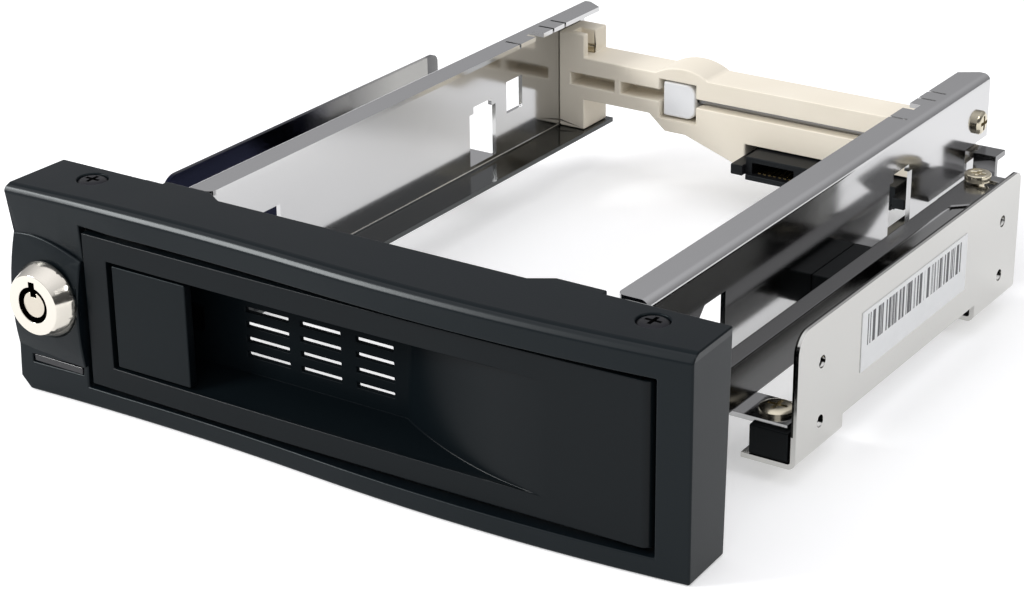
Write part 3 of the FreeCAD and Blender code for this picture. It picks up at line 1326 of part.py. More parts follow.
# Backplane behind the crossbar with a data and a power socket
backplane = Piece("backplane_board")
board_back = bar_back + board_thick
backplane.pad("XZ", bar_back, board_back, rect(-board_left, board_low, board_right, board_high))
backplane.pocket("XZ", bar_back - steel, board_back + steel,
                 *[Ring(x, board_screw_z, board_screw_shank + hole_gap) for x in board_screw_spots])
board_screws = []
for x in board_screw_spots:
    screw = Piece(f"board_screw{len(board_screws)}", False)
    tip = board_back - board_screw_length
    head_end = board_back + board_screw_tall
    screw.turn("Y", x, board_screw_z, Corner(0, tip), Corner(board_screw_shank, tip),
               Corner(board_screw_shank, board_back), Corner(board_screw_head, board_back),
               Corner(board_screw_head, head_end), Corner(0, head_end))
    board_screws.append(screw.body)
group("board_screws", board_screws)
data = Piece("data_socket")
data_right = data_left + data_width
data_high = data_low + data_tall
data_end = board_back + data_deep
data.pad("XZ", board_back, data_end, rect(data_left, data_low, data_right, data_high))
data.pocket("XZ", board_back + data_floor, data_end,
            rect(data_left + data_wall, data_low + data_wall, data_right - data_wall, data_high - data_wall))
data_middle = data_left + data_width / 2
data.pad("XZ", board_back + data_floor, data_end - data_wall,
         rect(data_middle - data_tongue_length / 2, data_low + data_tall / 2 - tongue_thick / 2,
              data_middle + data_tongue_length / 2, data_low + data_tall / 2 + tongue_thick / 2))
power = Piece("power_socket")
power_right = power_width - power_left
power_high = power_low + power_tall
power_end = board_back + power_deep
power.pad("XZ", board_back, power_end, rect(-power_left, power_low, power_right, power_high))
hollow_left = power_wall - power_left
hollow_right = power_right - power_wall
hollow_high = power_high - power_wall
power.pocket("XZ", board_back + power_floor, power_end,
             Outline(Corner(hollow_left, power_low + power_wall),
                     Corner(hollow_right, power_low + power_wall),
                     Corner(hollow_right, hollow_high - power_corner),
                     Corner(hollow_right - power_corner, hollow_high),
                     Corner(hollow_left + power_corner, hollow_high),
                     Corner(hollow_left, hollow_high - power_corner)))
power_pins = []
power_middle = power_width / 2 - power_left
pin_start = board_back + power_floor
pin_end = pin_start + power_pin_length
for i in range(power_pin_count):
    pin = Piece(f"power_pin{i}", False)
    pin_at = power_middle + power_pin_pitch * (i - (power_pin_count - 1) / 2)
    pin.turn("Y", pin_at, power_low + power_tall / 2, Corner(0, pin_start), Corner(power_pin, pin_start),
             Corner(power_pin, pin_end), Corner(0, pin_end))
    power_pins.append(pin.body)
group("power_pins", power_pins)

# Check every object and write one file for each node
doc.recompute()
for item in doc.Objects:
    if "Invalid" in item.State or "Error" in item.State:
        raise RuntimeError(f"{item.Label} did not build")
os.makedirs("parts", exist_ok=True)
for node in nodes:
    shape = node.Shape
    if shape.isNull() or not shape.isValid() or not shape.Solids:
        raise RuntimeError(f"{node.Label} has no valid solid")
    shape.exportStep(f"parts/{node.Label}.step")
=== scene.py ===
import json
import math

import bmesh
import bpy
from mathutils import Matrix, Vector


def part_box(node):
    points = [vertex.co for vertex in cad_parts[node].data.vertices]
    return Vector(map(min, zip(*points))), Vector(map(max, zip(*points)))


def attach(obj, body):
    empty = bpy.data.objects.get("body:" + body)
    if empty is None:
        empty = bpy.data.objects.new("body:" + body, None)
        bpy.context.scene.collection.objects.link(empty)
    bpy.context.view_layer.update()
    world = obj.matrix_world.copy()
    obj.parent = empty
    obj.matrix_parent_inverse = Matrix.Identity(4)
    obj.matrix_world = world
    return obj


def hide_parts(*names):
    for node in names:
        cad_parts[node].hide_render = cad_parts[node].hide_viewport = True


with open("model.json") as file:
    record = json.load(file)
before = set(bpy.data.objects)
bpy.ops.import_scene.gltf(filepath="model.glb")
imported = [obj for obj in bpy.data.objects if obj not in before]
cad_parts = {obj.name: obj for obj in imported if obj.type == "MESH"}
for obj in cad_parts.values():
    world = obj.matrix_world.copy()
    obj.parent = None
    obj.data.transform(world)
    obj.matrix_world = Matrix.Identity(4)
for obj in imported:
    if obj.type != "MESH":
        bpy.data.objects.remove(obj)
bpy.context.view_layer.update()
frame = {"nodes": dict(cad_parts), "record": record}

# Bezel: the black front frame of the bay, moulded in one piece from ABS with a fine matt grain.
# It carries the door, the lock and the light bar, and two screws in its top hold it to the rails.

mm = 0.001
flat_turn = math.radians(0.3)
scene = bpy.context.scene
nodes = frame["nodes"]
bodies = frame["record"]["behaviour"]["bodies"]
body_of = {node_name: body for body, members in bodies.items() for node_name in members}


class Signal:
    """A socket of a node tree, with the sums that a finish or a shape needs."""

    def __init__(self, owner, socket):
        self.owner = owner
        self.socket = socket

    def sum(self, operation, first, second):
        return self.owner.node("ShaderNodeMath", {"operation": operation}, {0: first, 1: second})

    def __add__(self, other):
        return self.sum("ADD", self, other)

    def __sub__(self, other):
        return self.sum("SUBTRACT", self, other)

    def __rsub__(self, other):
        return self.sum("SUBTRACT", other, self)

    def __mul__(self, other):
        return self.sum("MULTIPLY", self, other)

    def __truediv__(self, other):
        return self.sum("DIVIDE", self, other)

    def __lt__(self, other):
        return self.sum("LESS_THAN", self, other)

    def __gt__(self, other):
        return self.sum("GREATER_THAN", self, other)


class Tree:
    """A node tree; one method adds every node that it needs."""

    def __init__(self, tree):
        self.tree = tree

    def node(self, kind, settings=None, sockets=None, out=0):
        """Add a node, set it up, fill or link its sockets and return one of its outputs."""
        node = self.tree.nodes.new(kind)
        for key, value in (settings or {}).items():
            setattr(node, key, value)
        for key, value in (sockets or {}).items():
            for part in value if isinstance(value, list) else [value]:
                if isinstance(part, Signal):
                    self.tree.links.new(part.socket, node.inputs[key])
                else:
                    node.inputs[key].default_value = part
        return Signal(self, node.outputs[out])


class Finish(Tree):
    """A procedural material on a piece's own coordinates."""

    def __init__(self, name, **constants):
        self.material = bpy.data.materials.new(name)
        self.material.use_nodes = True
        super().__init__(self.material.node_tree)
        self.surface = self.tree.nodes["Principled BSDF"]
        for socket, value in constants.items():
            self.surface.inputs[socket.replace("_", " ")].default_value = value
        self.place = self.node("ShaderNodeTexCoord", out="Object")

    def drive(self, socket, signal):
        self.tree.links.new(signal.socket, self.surface.inputs[socket])

    def along(self, scale):
        """Coordinates scaled by a vector, so that a pattern runs along an axis."""
        return self.node("ShaderNodeMapping", None, {"Vector": self.place, "Scale": scale})

    def axes(self):
        """The three coordinates as separate values."""
        split = self.node("ShaderNodeSeparateXYZ", None, {0: self.place})
        return [Signal(self, socket) for socket in split.socket.node.outputs]

    def noise(self, scale, detail=4, roughness=0.5, where=None):
        return self.node("ShaderNodeTexNoise", None,
                         {"Vector": where or self.place, "Scale": scale, "Detail": detail,
                          "Roughness": roughness})

    def between(self, signal, low, high):
        """Map a signal from 0..1 to a range of values."""
        return signal * (high - low) + low

    def blend(self, factor, first, second):
        """Mix two colours."""
        return self.node("ShaderNodeMix", {"data_type": "RGBA"}, {0: factor, 6: first, 7: second}, out=2)

    def bump(self, height, strength, distance):
        self.drive("Normal", self.node("ShaderNodeBump", None,
                                       {"Strength": strength, "Distance": distance, "Height": height}))


def welded(node_name):
    """A node's shape as a merged mesh, its flat faces whole again but none of them hollowed."""
    weld = 0.002 * mm
    work = bmesh.new()
    work.from_mesh(nodes[node_name].data)
    bmesh.ops.remove_doubles(work, verts=work.verts, dist=weld)
    bmesh.ops.dissolve_limit(work, angle_limit=flat_turn, verts=work.verts, edges=work.edges)
    bmesh.ops.connect_verts_concave(work, faces=work.faces)
    return work


def plain_mesh(piece):
    """Turn a piece with modifiers into one with its finished mesh only."""
    graph = bpy.context.evaluated_depsgraph_get()
    mesh = bpy.data.meshes.new_from_object(piece.evaluated_get(graph))
    piece.modifiers.clear()
    piece.data = mesh


def eased(node_name, piece_name, finish, edge, rounds=2, sharpest=30, reshape=None):
    """A node's own shape with its sharp edges eased as on the real piece, kept inside the node's box."""
    work = welded(node_name)
    if reshape:
        reshape(work)
    mesh = bpy.data.meshes.new(piece_name)
    work.to_mesh(mesh)
    work.free()
    mesh.shade_smooth()
    mesh.materials.clear()
    mesh.materials.append(finish.material)
    piece = bpy.data.objects.new(piece_name, mesh)
    scene.collection.objects.link(piece)
    if edge:
        bevel = piece.modifiers.new("eased_edges", "BEVEL")
        bevel.limit_method = "ANGLE"
        bevel.angle_limit = math.radians(sharpest)
        bevel.width = edge
        bevel.segments = rounds
        bevel.use_clamp_overlap = False
    else:
        mesh.set_sharp_from_angle(angle=math.radians(sharpest))
    even = piece.modifiers.new("even_faces", "WEIGHTED_NORMAL")
    even.mode = "FACE_AREA"
    even.keep_sharp = True
    plain_mesh(piece)
    low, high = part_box(node_name)
    for vertex in piece.data.vertices:
        vertex.co = [min(max(vertex.co[axis], low[axis]), high[axis]) for axis in range(3)]
    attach(piece, body_of[node_name])
    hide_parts(node_name)


def moulded_black(name, shade, roughness, grain, gloss=0.16):
    """Black ABS: a matt grain of fine pits, with broad, faint changes of gloss."""
    cool_sheen = (0.84, 0.97, 1.0, 1)
    dark_share = 0.8
    smoother = 0.04
    rougher = 0.05
    pit_swing = 0.08
    pit_depth = 0.02 * mm
    finish = Finish(name, IOR=1.5, Specular_IOR_Level=gloss, Specular_Tint=cool_sheen)
    cloud = finish.noise(60, detail=3)
    pits = finish.noise(2600, detail=2, roughness=0.6)
    dark = tuple(part * dark_share for part in shade)
    finish.drive("Base Color", finish.blend(cloud, (*dark, 1), (*shade, 1)))
    broad = finish.between(cloud, roughness - smoother, roughness + rougher)
    finish.drive("Roughness", broad + (pits - 0.5) * pit_swing)
    finish.bump(pits, strength=grain, distance=pit_depth)
    return finish


bezel_black = moulded_black("bezel_black", shade=(0.0030, 0.0054, 0.0074),
                            roughness=0.32, grain=0.5, gloss=0.12)
face_head = 42.0 * mm
brow_foot = 40.9 * mm
face_coat = 0.13
brow_coat = 0.22
bezel_z = bezel_black.axes()[2]
bezel_black.drive("Coat Weight", (bezel_z < face_head) * ((bezel_z > brow_foot) * brow_coat + face_coat))
bezel_black.surface.inputs["Coat Roughness"].default_value = 0.32


def lean_forward(work):
    """Lean the face forward to its brow, all but the lock's panel, which only leans above its head."""
    front_start = -8.0 * mm
    brow_height = 41.2 * mm
    brow_lead = 2.0 * mm
    brow_lift = 0.3 * mm
    brow_band = 0.05 * mm
    panel_side = -57.3 * mm
    panel_head = 33.0 * mm
    for vertex in work.verts:
        place = vertex.co
        if place.y < front_start:
            foot = panel_head if place.x < panel_side else 0
            place.y -= brow_lead * max(0, place.z - foot) / (brow_height - foot)
            if abs(place.z - brow_height) < brow_band:
                place.z += brow_lift


def move_tabs(work):
    """Set the two tabs on the back of the top where the rails' flanges meet them."""
    top_foot = 40.0 * mm
    near = 0.1 * mm
    rear_edge = 1.2 * mm
    tab_start = 48.0 * mm
    new_reach = {40.5: 34.2, 43.5: 38.2, 58.5: 49.0}
    for vertex in work.verts:
        place = vertex.co
        if place.z < top_foot or place.y < -near:
            continue
        for old, new in new_reach.items():
            if abs(abs(place.x) - old * mm) < near:
                place.x = math.copysign(new * mm, place.x)
        if abs(place.x) > tab_start and place.y < near:
            place.y = rear_edge


def arch_panel(work):
    """Bend the upper edge of the lock's panel into an arch that falls towards the door."""
    panel_left = -74.5 * mm
    panel_right = -57.4 * mm
    arch_foot = 28.6 * mm
    arch_head = 32.1 * mm
    panel_front = -12.0 * mm
    slack = 1.0 * mm
    end_facet = 0.1 * mm
    weld = 0.025 * mm
    steps = 8
    rise = 5.6 * mm
    fall = 7.5 * mm
    facing = -0.5
    hollow_turn = math.radians(45)
    for vertex in work.verts:
        if vertex.co.x < panel_left + end_facet and vertex.co.z < arch_head:
            vertex.co.x = panel_left
    bmesh.ops.remove_doubles(work, verts=work.verts, dist=weld)
    bmesh.ops.dissolve_limit(work, angle_limit=flat_turn, verts=work.verts, edges=work.edges)
    for step in range(1, steps):
        cut = Vector((panel_left + (panel_right - panel_left) * step / steps, 0, 0))
        middles = {face: face.calc_center_median() for face in work.faces}
        near = [face for face, middle in middles.items()
                if middle.x < panel_right and middle.y < panel_front
                and arch_foot - slack < middle.z < arch_head + slack]
        parts = {part for face in near for part in (face, *face.edges, *face.verts)}
        bmesh.ops.bisect_plane(work, geom=list(parts), plane_co=cut, plane_no=(1, 0, 0))
    work.normal_update()
    tilts = {}
    bent = set()
    for face in work.faces:
        if face.normal.y < facing and face.calc_center_median().z > arch_head:
            tilts.update({vertex: -face.normal.z / face.normal.y for vertex in face.verts})
    for vertex in work.verts:
        place = vertex.co
        if place.x < panel_right + end_facet and place.y < panel_front and arch_foot < place.z < arch_head:
            share = (place.x - panel_left) / (panel_right - panel_left)
            lift = (rise * share - fall * share * share) * (place.z - arch_foot) / (arch_head - arch_foot)
            place.z += lift
            place.y += lift * tilts.get(vertex, 0)
            bent.add(vertex)
    bmesh.ops.connect_verts_concave(work, faces=work.faces)
    work.normal_update()
    hollow = [edge for edge in work.edges if bent.issuperset(edge.verts) and edge.is_manifold
              and not edge.is_convex and edge.calc_face_angle() > hollow_turn]
    bmesh.ops.split_edges(work, edges=hollow)


def strip_and_stop(work):
    """Cut the bright strip above the face, and add the rib that keeps light out of the gap by the door."""
    strip_half = 0.75 * mm
    stop_low = Vector((-58.9, -10.6, 29.0)) * mm
    stop_high = Vector((-57.5, -5.6, 38.4)) * mm
    slope_facing = -0.3
    slope_least = 0.75
    slope_most = 0.97
    front_facing = -0.9
    work.normal_update()
    slopes = {face for face in work.faces
              if face.normal.y < slope_facing and slope_least < face.normal.z < slope_most}
    fronts = {face for face in work.faces if face.normal.y < front_facing}
    brow = [edge for edge in work.edges if slopes & set(edge.link_faces) and fronts & set(edge.link_faces)]
    bmesh.ops.bevel(work, geom=brow, offset=strip_half, offset_type="OFFSET", segments=1, profile=0.5,
                    affect="EDGES")
    rib = bmesh.ops.create_cube(work, size=1)["verts"]
    bmesh.ops.scale(work, verts=rib, vec=stop_high - stop_low)
    bmesh.ops.translate(work, verts=rib, vec=(stop_high + stop_low) / 2)


def shaped_front(work):
    """The bezel as the photograph shows it, from the plainer shape of the CAD node."""
    arch_panel(work)
    lean_forward(work)
    move_tabs(work)
    strip_and_stop(work)


eased("bezel_frame", "bezel", bezel_black, edge=0.35 * mm, rounds=3, sharpest=20, reshape=shaped_front)

# Door and latch: black ABS with a smoother face than the bezel, moulded with the finger recess.
# The door turns on an upright steel pin at its right, and the latch plate on a thin one at its left.
# A blued leaf spring behind the recess holds the latch shut.

door_black = moulded_black("door_black", shade=(0.0040, 0.0064, 0.0080),
                           roughness=0.45, grain=0.25, gloss=0.0)
recess_start = -12.6 * mm
recess_matt = -7.0 * mm
door_coat = 0.29
recess_coat = 0.05
door_y = door_black.axes()[1]
door_depth = door_black.node("ShaderNodeClamp", None,
                             {"Value": (door_y - recess_start) / (recess_matt - recess_start)})
door_black.drive("Coat Weight", door_black.between(door_depth, door_coat, recess_coat))
door_black.surface.inputs["Coat Roughness"].default_value = 0.28
eased("door_panel", "door", door_black, edge=0.25 * mm)
latch_black = moulded_black("latch_black", shade=(0.0024, 0.0040, 0.0054),
                            roughness=0.34, grain=0.3, gloss=0.13)
eased("latch_pull", "latch", latch_black, edge=0.25 * mm)


def drawn_metal(name, shade, roughness, darkened=None):
    """Plated or drawn metal with fine marks and slow changes of tone and, where asked, dark places."""
    worn_share = 0.8
    smoother = 0.05
    rougher = 0.08
    finish = Finish(name, Metallic=1.0)
    marks = finish.noise(900, detail=3)
    tone = finish.noise(40, detail=2)
    worn = tuple(part * worn_share for part in shade)
    tint = finish.blend(tone, (*worn, 1), (*shade, 1))
    finish.drive("Base Color", darkened(finish, tint) if darkened else tint)
    finish.drive("Roughness", finish.between(marks, roughness - smoother, roughness + rougher))
    return finish


blued_steel = drawn_metal("blued_steel", shade=(0.05, 0.05, 0.06), roughness=0.35)
for node_name in ("door_hinge_pin", "latch_pivot_pin", "lever_pivot_pin", "latch_spring"):
    eased(node_name, node_name + "_blued", blued_steel, edge=0.0)

# Lock: a turned and chrome plated barrel in the bezel, with a plug whose ring keyway takes a tubular key.
# A nut behind the bezel holds the barrel, and a screw holds the cam on the end of the plug.

plug_low, plug_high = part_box("lock_plug")


def dark_keyway(finish, tone):
    """The keyway's ring and notch, dark inside with grease and shadow."""
    skin = 0.3 * mm
    ring_width = 1.5 * mm
    reach = (plug_high.x - plug_low.x) / 2 + ring_width
    x, y, z = finish.axes()
    aside = x - (plug_low.x + plug_high.x) / 2
    above = z - (plug_low.z + plug_high.z) / 2
    inside = (aside * aside + above * above < reach * reach) * (y > plug_low.y + skin)
    return finish.blend(inside, tone, (0.006, 0.005, 0.004, 1))


lock_chrome = drawn_metal("lock_chrome", shade=(0.80, 0.76, 0.68), roughness=0.10, darkened=dark_keyway)
plug_chrome = drawn_metal("plug_chrome", shade=(0.66, 0.61, 0.52), roughness=0.18, darkened=dark_keyway)
eased("lock_body", "lock_barrel", lock_chrome, edge=0.1 * mm)
eased("lock_plug", "lock_core", plug_chrome, edge=0.08 * mm)
cam_plate = drawn_metal("cam_plate", shade=(0.60, 0.58, 0.54), roughness=0.22)
for node_name in ("lock_nut", "lock_cam", "cam_screw"):
    eased(node_name, node_name + "_plated", cam_plate, edge=0.12 * mm)

# Light bar: a strip of smoked acrylic in a slot of the bezel, with two small lamps on a board behind.
# It is pressed in from the back and is dark while the lamps are off.

smoked = Finish("smoked_acrylic", IOR=1.49)
smoked_tone = smoked.noise(200, detail=2)
smoked.drive("Base Color", smoked.blend(smoked_tone, (0.006, 0.007, 0.009, 1), (0.012, 0.012, 0.015, 1)))
smoked.drive("Roughness", smoked.between(smoked_tone, 0.08, 0.16))
eased("led_lens", "light_bar", smoked, edge=0.15 * mm)
lamp_clear = Finish("lamp_clear", IOR=1.5, Roughness=0.1)
lamp_tone = lamp_clear.noise(300)
lamp_clear.drive("Base Color", lamp_clear.blend(lamp_tone, (0.5, 0.55, 0.6, 1), (0.7, 0.72, 0.75, 1)))
eased("status_leds", "lamps", lamp_clear, edge=0.15 * mm)

board_green = Finish("board_green_mask", IOR=1.5, Coat_Roughness=0.2, Coat_Weight=0.3)
board_tracks = board_green.node("ShaderNodeTexBrick", {"offset": 0.5},
                                {"Vector": board_green.place, "Scale": 260.0, "Mortar Size": 0.03,
                                 "Color1": (0, 0, 0, 1), "Color2": (0.15, 0.15, 0.15, 1),
                                 "Mortar": (1, 1, 1, 1)}, out=1)
board_mask = board_green.noise(120, detail=3)
board_tone = board_green.blend(board_mask, (0.006, 0.045, 0.018, 1), (0.010, 0.070, 0.028, 1))
board_green.drive("Base Color", board_green.blend(board_tracks, board_tone, (0.020, 0.110, 0.045, 1)))
board_green.drive("Roughness", board_green.between(board_mask, 0.30, 0.42))
eased("led_board", "lamp_board", board_green, edge=0.1 * mm)

# Rails and side plates: 1 mm steel sheet, punched, folded and bright nickel plated.
# The rails carry the drive on their ledges, and the plates take the case's screws.
# The plates' inner faces carry a painted dark reflection, and the rails' ledges are darkened almost to
# black.


def bright_sheet(name, shade, roughness, darkened=None):
    """Bright plated sheet with rolling marks, finger smears and, where asked, dark places."""
    along_length = (40, 2, 40)
    dull_share = 0.92
    smoother = 0.03
    rougher = 0.04
    smear_swing = 0.02
    mark_depth = 0.02 * mm
    finish = Finish(name, Metallic=1.0)
    rolled = finish.noise(14, detail=5, roughness=0.6, where=finish.along(along_length))
    smears = finish.noise(26, detail=4)
    dull = tuple(part * dull_share for part in shade)
    tone = finish.blend(smears, (*dull, 1), (*shade, 1))
    if darkened:
        tone = darkened(finish, tone)
    finish.drive("Base Color", tone)
    finish.drive("Roughness", finish.between(rolled, roughness - smoother, roughness + rougher)
                 + finish.between(smears, -smear_swing, smear_swing))
    finish.bump(rolled, strength=0.03, distance=mark_depth)
    return finish


def darkened_ledges(finish, tone):
    """The rails' ledges, darkened almost to black."""
    ledge_reach = 51.0 * mm
    ledge_top = 12.0 * mm
    ledge_darkening = 0.93
    x, y, z = finish.axes()
    ledge = (x * x < ledge_reach * ledge_reach) * (z < ledge_top)
    return finish.blend(ledge * ledge_darkening, tone, (0.03, 0.035, 0.035, 1))


def painted_dark_inside(finish, tone):
    """The plates' inner faces, under a painted dark reflection that fades out over a stretch near the back
    of the left one.
    """
    left_edge = -72.9 * mm
    right_face = 72.4 * mm
    reflection_foot = 10 * mm
    reflection_end = 108 * mm
    reflection_fade = 35 * mm
    left_dark_return = 120 * mm
    x, y, z = finish.axes()
    whole = finish.node("ShaderNodeClamp", None,
                        {"Value": (reflection_end - y) / reflection_fade + (y > left_dark_return) + (x > 0)})
    # Painted reflection: the inner faces above the foot are darkened, navy on the left plate and grey on
    # the right.
    painted_reflection = (x > left_edge) * (x < right_face) * (z > reflection_foot) * whole
    shade = finish.blend(x > 0, (0.010, 0.012, 0.030, 1), (0.030, 0.030, 0.028, 1))
    return finish.blend(painted_reflection, tone, shade)


rail_steel = bright_sheet("rail_steel", shade=(0.60, 0.60, 0.60), roughness=0.11, darkened=darkened_ledges)
plate_steel = bright_sheet("plate_steel", shade=(0.60, 0.595, 0.57), roughness=0.12, darkened=painted_dark_inside)


def fitted_flange(work):
    """Widen the flange over the drive, round its front corner and shorten the bezel's bracket."""
    flange_foot = 34.5 * mm
    edge_reach = 47.0 * mm
    cut_reach = 49.6 * mm
    new_edge = 45.5 * mm
    flange_zone = (11.5 * mm, 15.0 * mm)
    new_front = 11.0 * mm
    bracket_back = 5.0 * mm
    corner_round = 1.6 * mm
    corner_steps = 5
    near = 0.02 * mm

    def at_corner(vertex):
        return abs(abs(vertex.co.x) - new_edge) < near and abs(vertex.co.y - new_front) < near

    for vertex in work.verts:
        place = vertex.co
        if place.z < flange_foot:
            continue
        if flange_zone[0] < place.y < flange_zone[1]:
            place.y = new_front
            if abs(place.x) < cut_reach:
                place.x = math.copysign(new_edge, place.x)
        elif bracket_back < place.y < flange_zone[0]:
            place.y = bracket_back
        elif abs(place.x) < edge_reach:
            place.x = math.copysign(new_edge, place.x)
    bmesh.ops.remove_doubles(work, verts=work.verts, dist=near)
    corner = [edge for edge in work.edges if all(at_corner(vertex) for vertex in edge.verts)]
    bmesh.ops.bevel(work, geom=corner, offset=corner_round, offset_type="OFFSET", segments=corner_steps,
                    profile=0.5, affect="EDGES")


for node_name in ("left_rail", "right_rail"):
    eased(node_name, node_name + "_folded", rail_steel, edge=0.0, reshape=fitted_flange)
for node_name in ("left_side_plate", "right_side_plate"):
    eased(node_name, node_name + "_folded", plate_steel, edge=0.0)

# Spacers and the guide of the link: plain black moulded blocks.
# The spacers stand on the plates' feet and hold the rails' tabs off them.

block_black = moulded_black("block_black", shade=(0.003, 0.003, 0.0035), roughness=0.50, grain=0.3)
eased("plate_spacers", "spacer_blocks", block_black, edge=0.3 * mm)
eased("link_guide", "link_guide_block", block_black, edge=0.3 * mm)

# Label: a strip of white paper film stuck on the right plate.
# It carries plain stripes of mixed widths and no lettering.

label_low, label_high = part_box("side_label")
stripe_margin = 2.2 * mm
stripe_foot = 4.8 * mm
stripe_head = 0.9 * mm
stripe_level = 0.5
label_paper = Finish("label_paper", Roughness=0.45)
label_y, label_z = label_paper.axes()[1:]
stripe_wave = label_paper.node("ShaderNodeTexNoise", {"noise_dimensions": "1D"},
                               {"W": label_y, "Scale": 900.0, "Detail": 1.0})
stripe_field = ((label_y > label_low[1] + stripe_margin) * (label_y < label_high[1] - stripe_margin)
                * (label_z > label_low[2] + stripe_foot) * (label_z < label_high[2] - stripe_head))
stripes = (stripe_wave > stripe_level) * stripe_field
paper_tone = label_paper.blend(label_paper.noise(400), (0.84, 0.85, 0.85, 1), (0.90, 0.91, 0.91, 1))
label_paper.drive("Base Color", label_paper.blend(stripes, paper_tone, (0.06, 0.06, 0.065, 1)))
eased("side_label", "paper_label", label_paper, edge=0.0)

# Crossbar: an ivory glass filled moulding between the rails, with a slot for the ejector's lever.
# Two screws through the rails hold it.

ivory = Finish("ivory_moulding", IOR=1.5, Specular_IOR_Level=0.35)
ivory_cloud = ivory.noise(70, detail=4)
ivory_grain = ivory.noise(1800, detail=2)
ivory.drive("Base Color", ivory.blend(ivory_cloud, (0.80, 0.73, 0.60, 1), (0.88, 0.82, 0.70, 1)))
ivory.drive("Roughness", ivory.between(ivory_cloud, 0.42, 0.55))
ivory.bump(ivory_grain, strength=0.25, distance=0.03 * mm)
eased("rear_crossbar", "crossbar", ivory, edge=0.35 * mm, rounds=3)

# Ejector: a stamped lever in the crossbar's slot with a nylon tip, and the folded link that drives it.
# The steel of both is darker than the rails, and the tip is a white snap-on moulding.


def painted_dark_sides(finish, tone):
    """The link's upright sides, near black below its bright top edge, a painted dark reflection."""
    side_top = 21.5 * mm
    side_rear = 126 * mm
    x, y, z = finish.axes()
    # Painted reflection: the sides below the top edge and ahead of the back end are darkened.
    return finish.blend((z < side_top) * (y < side_rear), tone, (0.07, 0.07, 0.07, 1))


lever_steel = bright_sheet("lever_steel", shade=(0.24, 0.24, 0.24), roughness=0.16)
link_steel = bright_sheet("link_steel", shade=(0.26, 0.26, 0.26), roughness=0.16, darkened=painted_dark_sides)
eased("ejector_lever", "lever_plate", lever_steel, edge=0.0)
eased("ejector_link", "link_strip", link_steel, edge=0.35 * mm)
nylon = Finish("white_nylon_tip", IOR=1.53)
nylon_cloud = nylon.noise(150, detail=3)
nylon.drive("Base Color", nylon.blend(nylon_cloud, (0.78, 0.79, 0.80, 1), (0.86, 0.87, 0.88, 1)))
nylon.drive("Roughness", nylon.between(nylon_cloud, 0.35, 0.5))
eased("ejector_pusher", "nylon_tip", nylon, edge=0.5 * mm, rounds=3)

# Screws: pan heads with a cross drive, rolled from steel and plated, or blackened for the bezel.
# They go into the rails' ears and tabs, the crossbar's ends and the backplane.


class Recipe(Tree):
    """A geometry tree that puts one shape on every seat of a piece, with its sizes as named inputs."""

    def __init__(self, name, *sizes):
        super().__init__(bpy.data.node_groups.new(name, "GeometryNodeTree"))
        self.tree.interface.new_socket("Geometry", in_out="OUTPUT", socket_type="NodeSocketGeometry")
        wanted = [("Seats", "NodeSocketGeometry"), ("Finish", "NodeSocketMaterial")]
        wanted += [(size, "NodeSocketFloat") for size in sizes]
        self.keys = {}
        for title, kind in wanted:
            socket = self.tree.interface.new_socket(title, in_out="INPUT", socket_type=kind)
            self.keys[title] = socket.identifier
        entry = self.tree.nodes.new("NodeGroupInput")
        self.given = {title: Signal(self, entry.outputs[title]) for title, kind in wanted}
        self.ending = self.tree.nodes.new("NodeGroupOutput")

    def vector(self, x=0.0, y=0.0, z=0.0):
        return self.node("ShaderNodeCombineXYZ", None, {0: x, 1: y, 2: z})

    def position(self):
        """The three coordinates of each point of a shape."""
        split = self.node("ShaderNodeSeparateXYZ", None, {0: self.node("GeometryNodeInputPosition")})
        return [Signal(self, socket) for socket in split.socket.node.outputs]

    def moved(self, shape, z):
        return self.node("GeometryNodeTransform", None,
                         {"Geometry": shape, "Translation": self.vector(z=z)})

    def lifted(self, shape, z):
        """Each point of the shape moved up by its own amount."""
        return self.node("GeometryNodeSetPosition", None,
                         {"Geometry": shape, "Offset": self.vector(z=z)})

    def close(self, shape):
        """Put the shape on every seat, along the seat's axis, and end the tree."""
        axis = self.node("GeometryNodeInputNamedAttribute", {"data_type": "FLOAT_VECTOR"}, {"Name": "axis"})
        facing = self.node("FunctionNodeAlignRotationToVector", {"axis": "Z"}, {"Vector": axis})
        placed = self.node("GeometryNodeInstanceOnPoints", None,
                           {"Points": self.given["Seats"], "Instance": shape, "Rotation": facing})
        real = self.node("GeometryNodeRealizeInstances", None, {"Geometry": placed})
        done = self.node("GeometryNodeSetMaterial", None,
                         {"Geometry": real, "Material": self.given["Finish"]})
        self.tree.links.new(done.socket, self.ending.inputs[0])


def islands(node_name):
    """The lowest and highest corner of each separate solid of a node."""
    work = welded(node_name)
    left = set(work.verts)
    found = []
    while left:
        front = [left.pop()]
        member = []
        while front:
            vertex = front.pop()
            member.append(vertex.co.copy())
            near = {link.other_vert(vertex) for link in vertex.link_edges} & left
            left -= near
            front.extend(near)
        found.append([Vector([pick(point[axis] for point in member) for axis in range(3)])
                      for pick in (min, max)])
    work.free()
    return found


def repeated(node_name, piece_name, recipe, finish, seats, sizes):
    """A piece made by a recipe on its seats, each seat a place and an axis."""
    sharp_turn = math.radians(35)
    mesh = bpy.data.meshes.new(piece_name)
    mesh.from_pydata([place for place, axis in seats], [], [])
    axes = mesh.attributes.new("axis", "FLOAT_VECTOR", "POINT")
    for entry, (place, axis) in zip(axes.data, seats):
        entry.vector = axis
    piece = bpy.data.objects.new(piece_name, mesh)
    scene.collection.objects.link(piece)
    maker = piece.modifiers.new("recipe", "NODES")
    maker.node_group = recipe.tree
    maker[recipe.keys["Finish"]] = finish.material
    for title, value in sizes.items():
        maker[recipe.keys[title]] = value
    plain_mesh(piece)
    piece.data.shade_smooth()
    piece.data.set_sharp_from_angle(angle=sharp_turn)
    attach(piece, body_of[node_name])
    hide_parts(node_name)


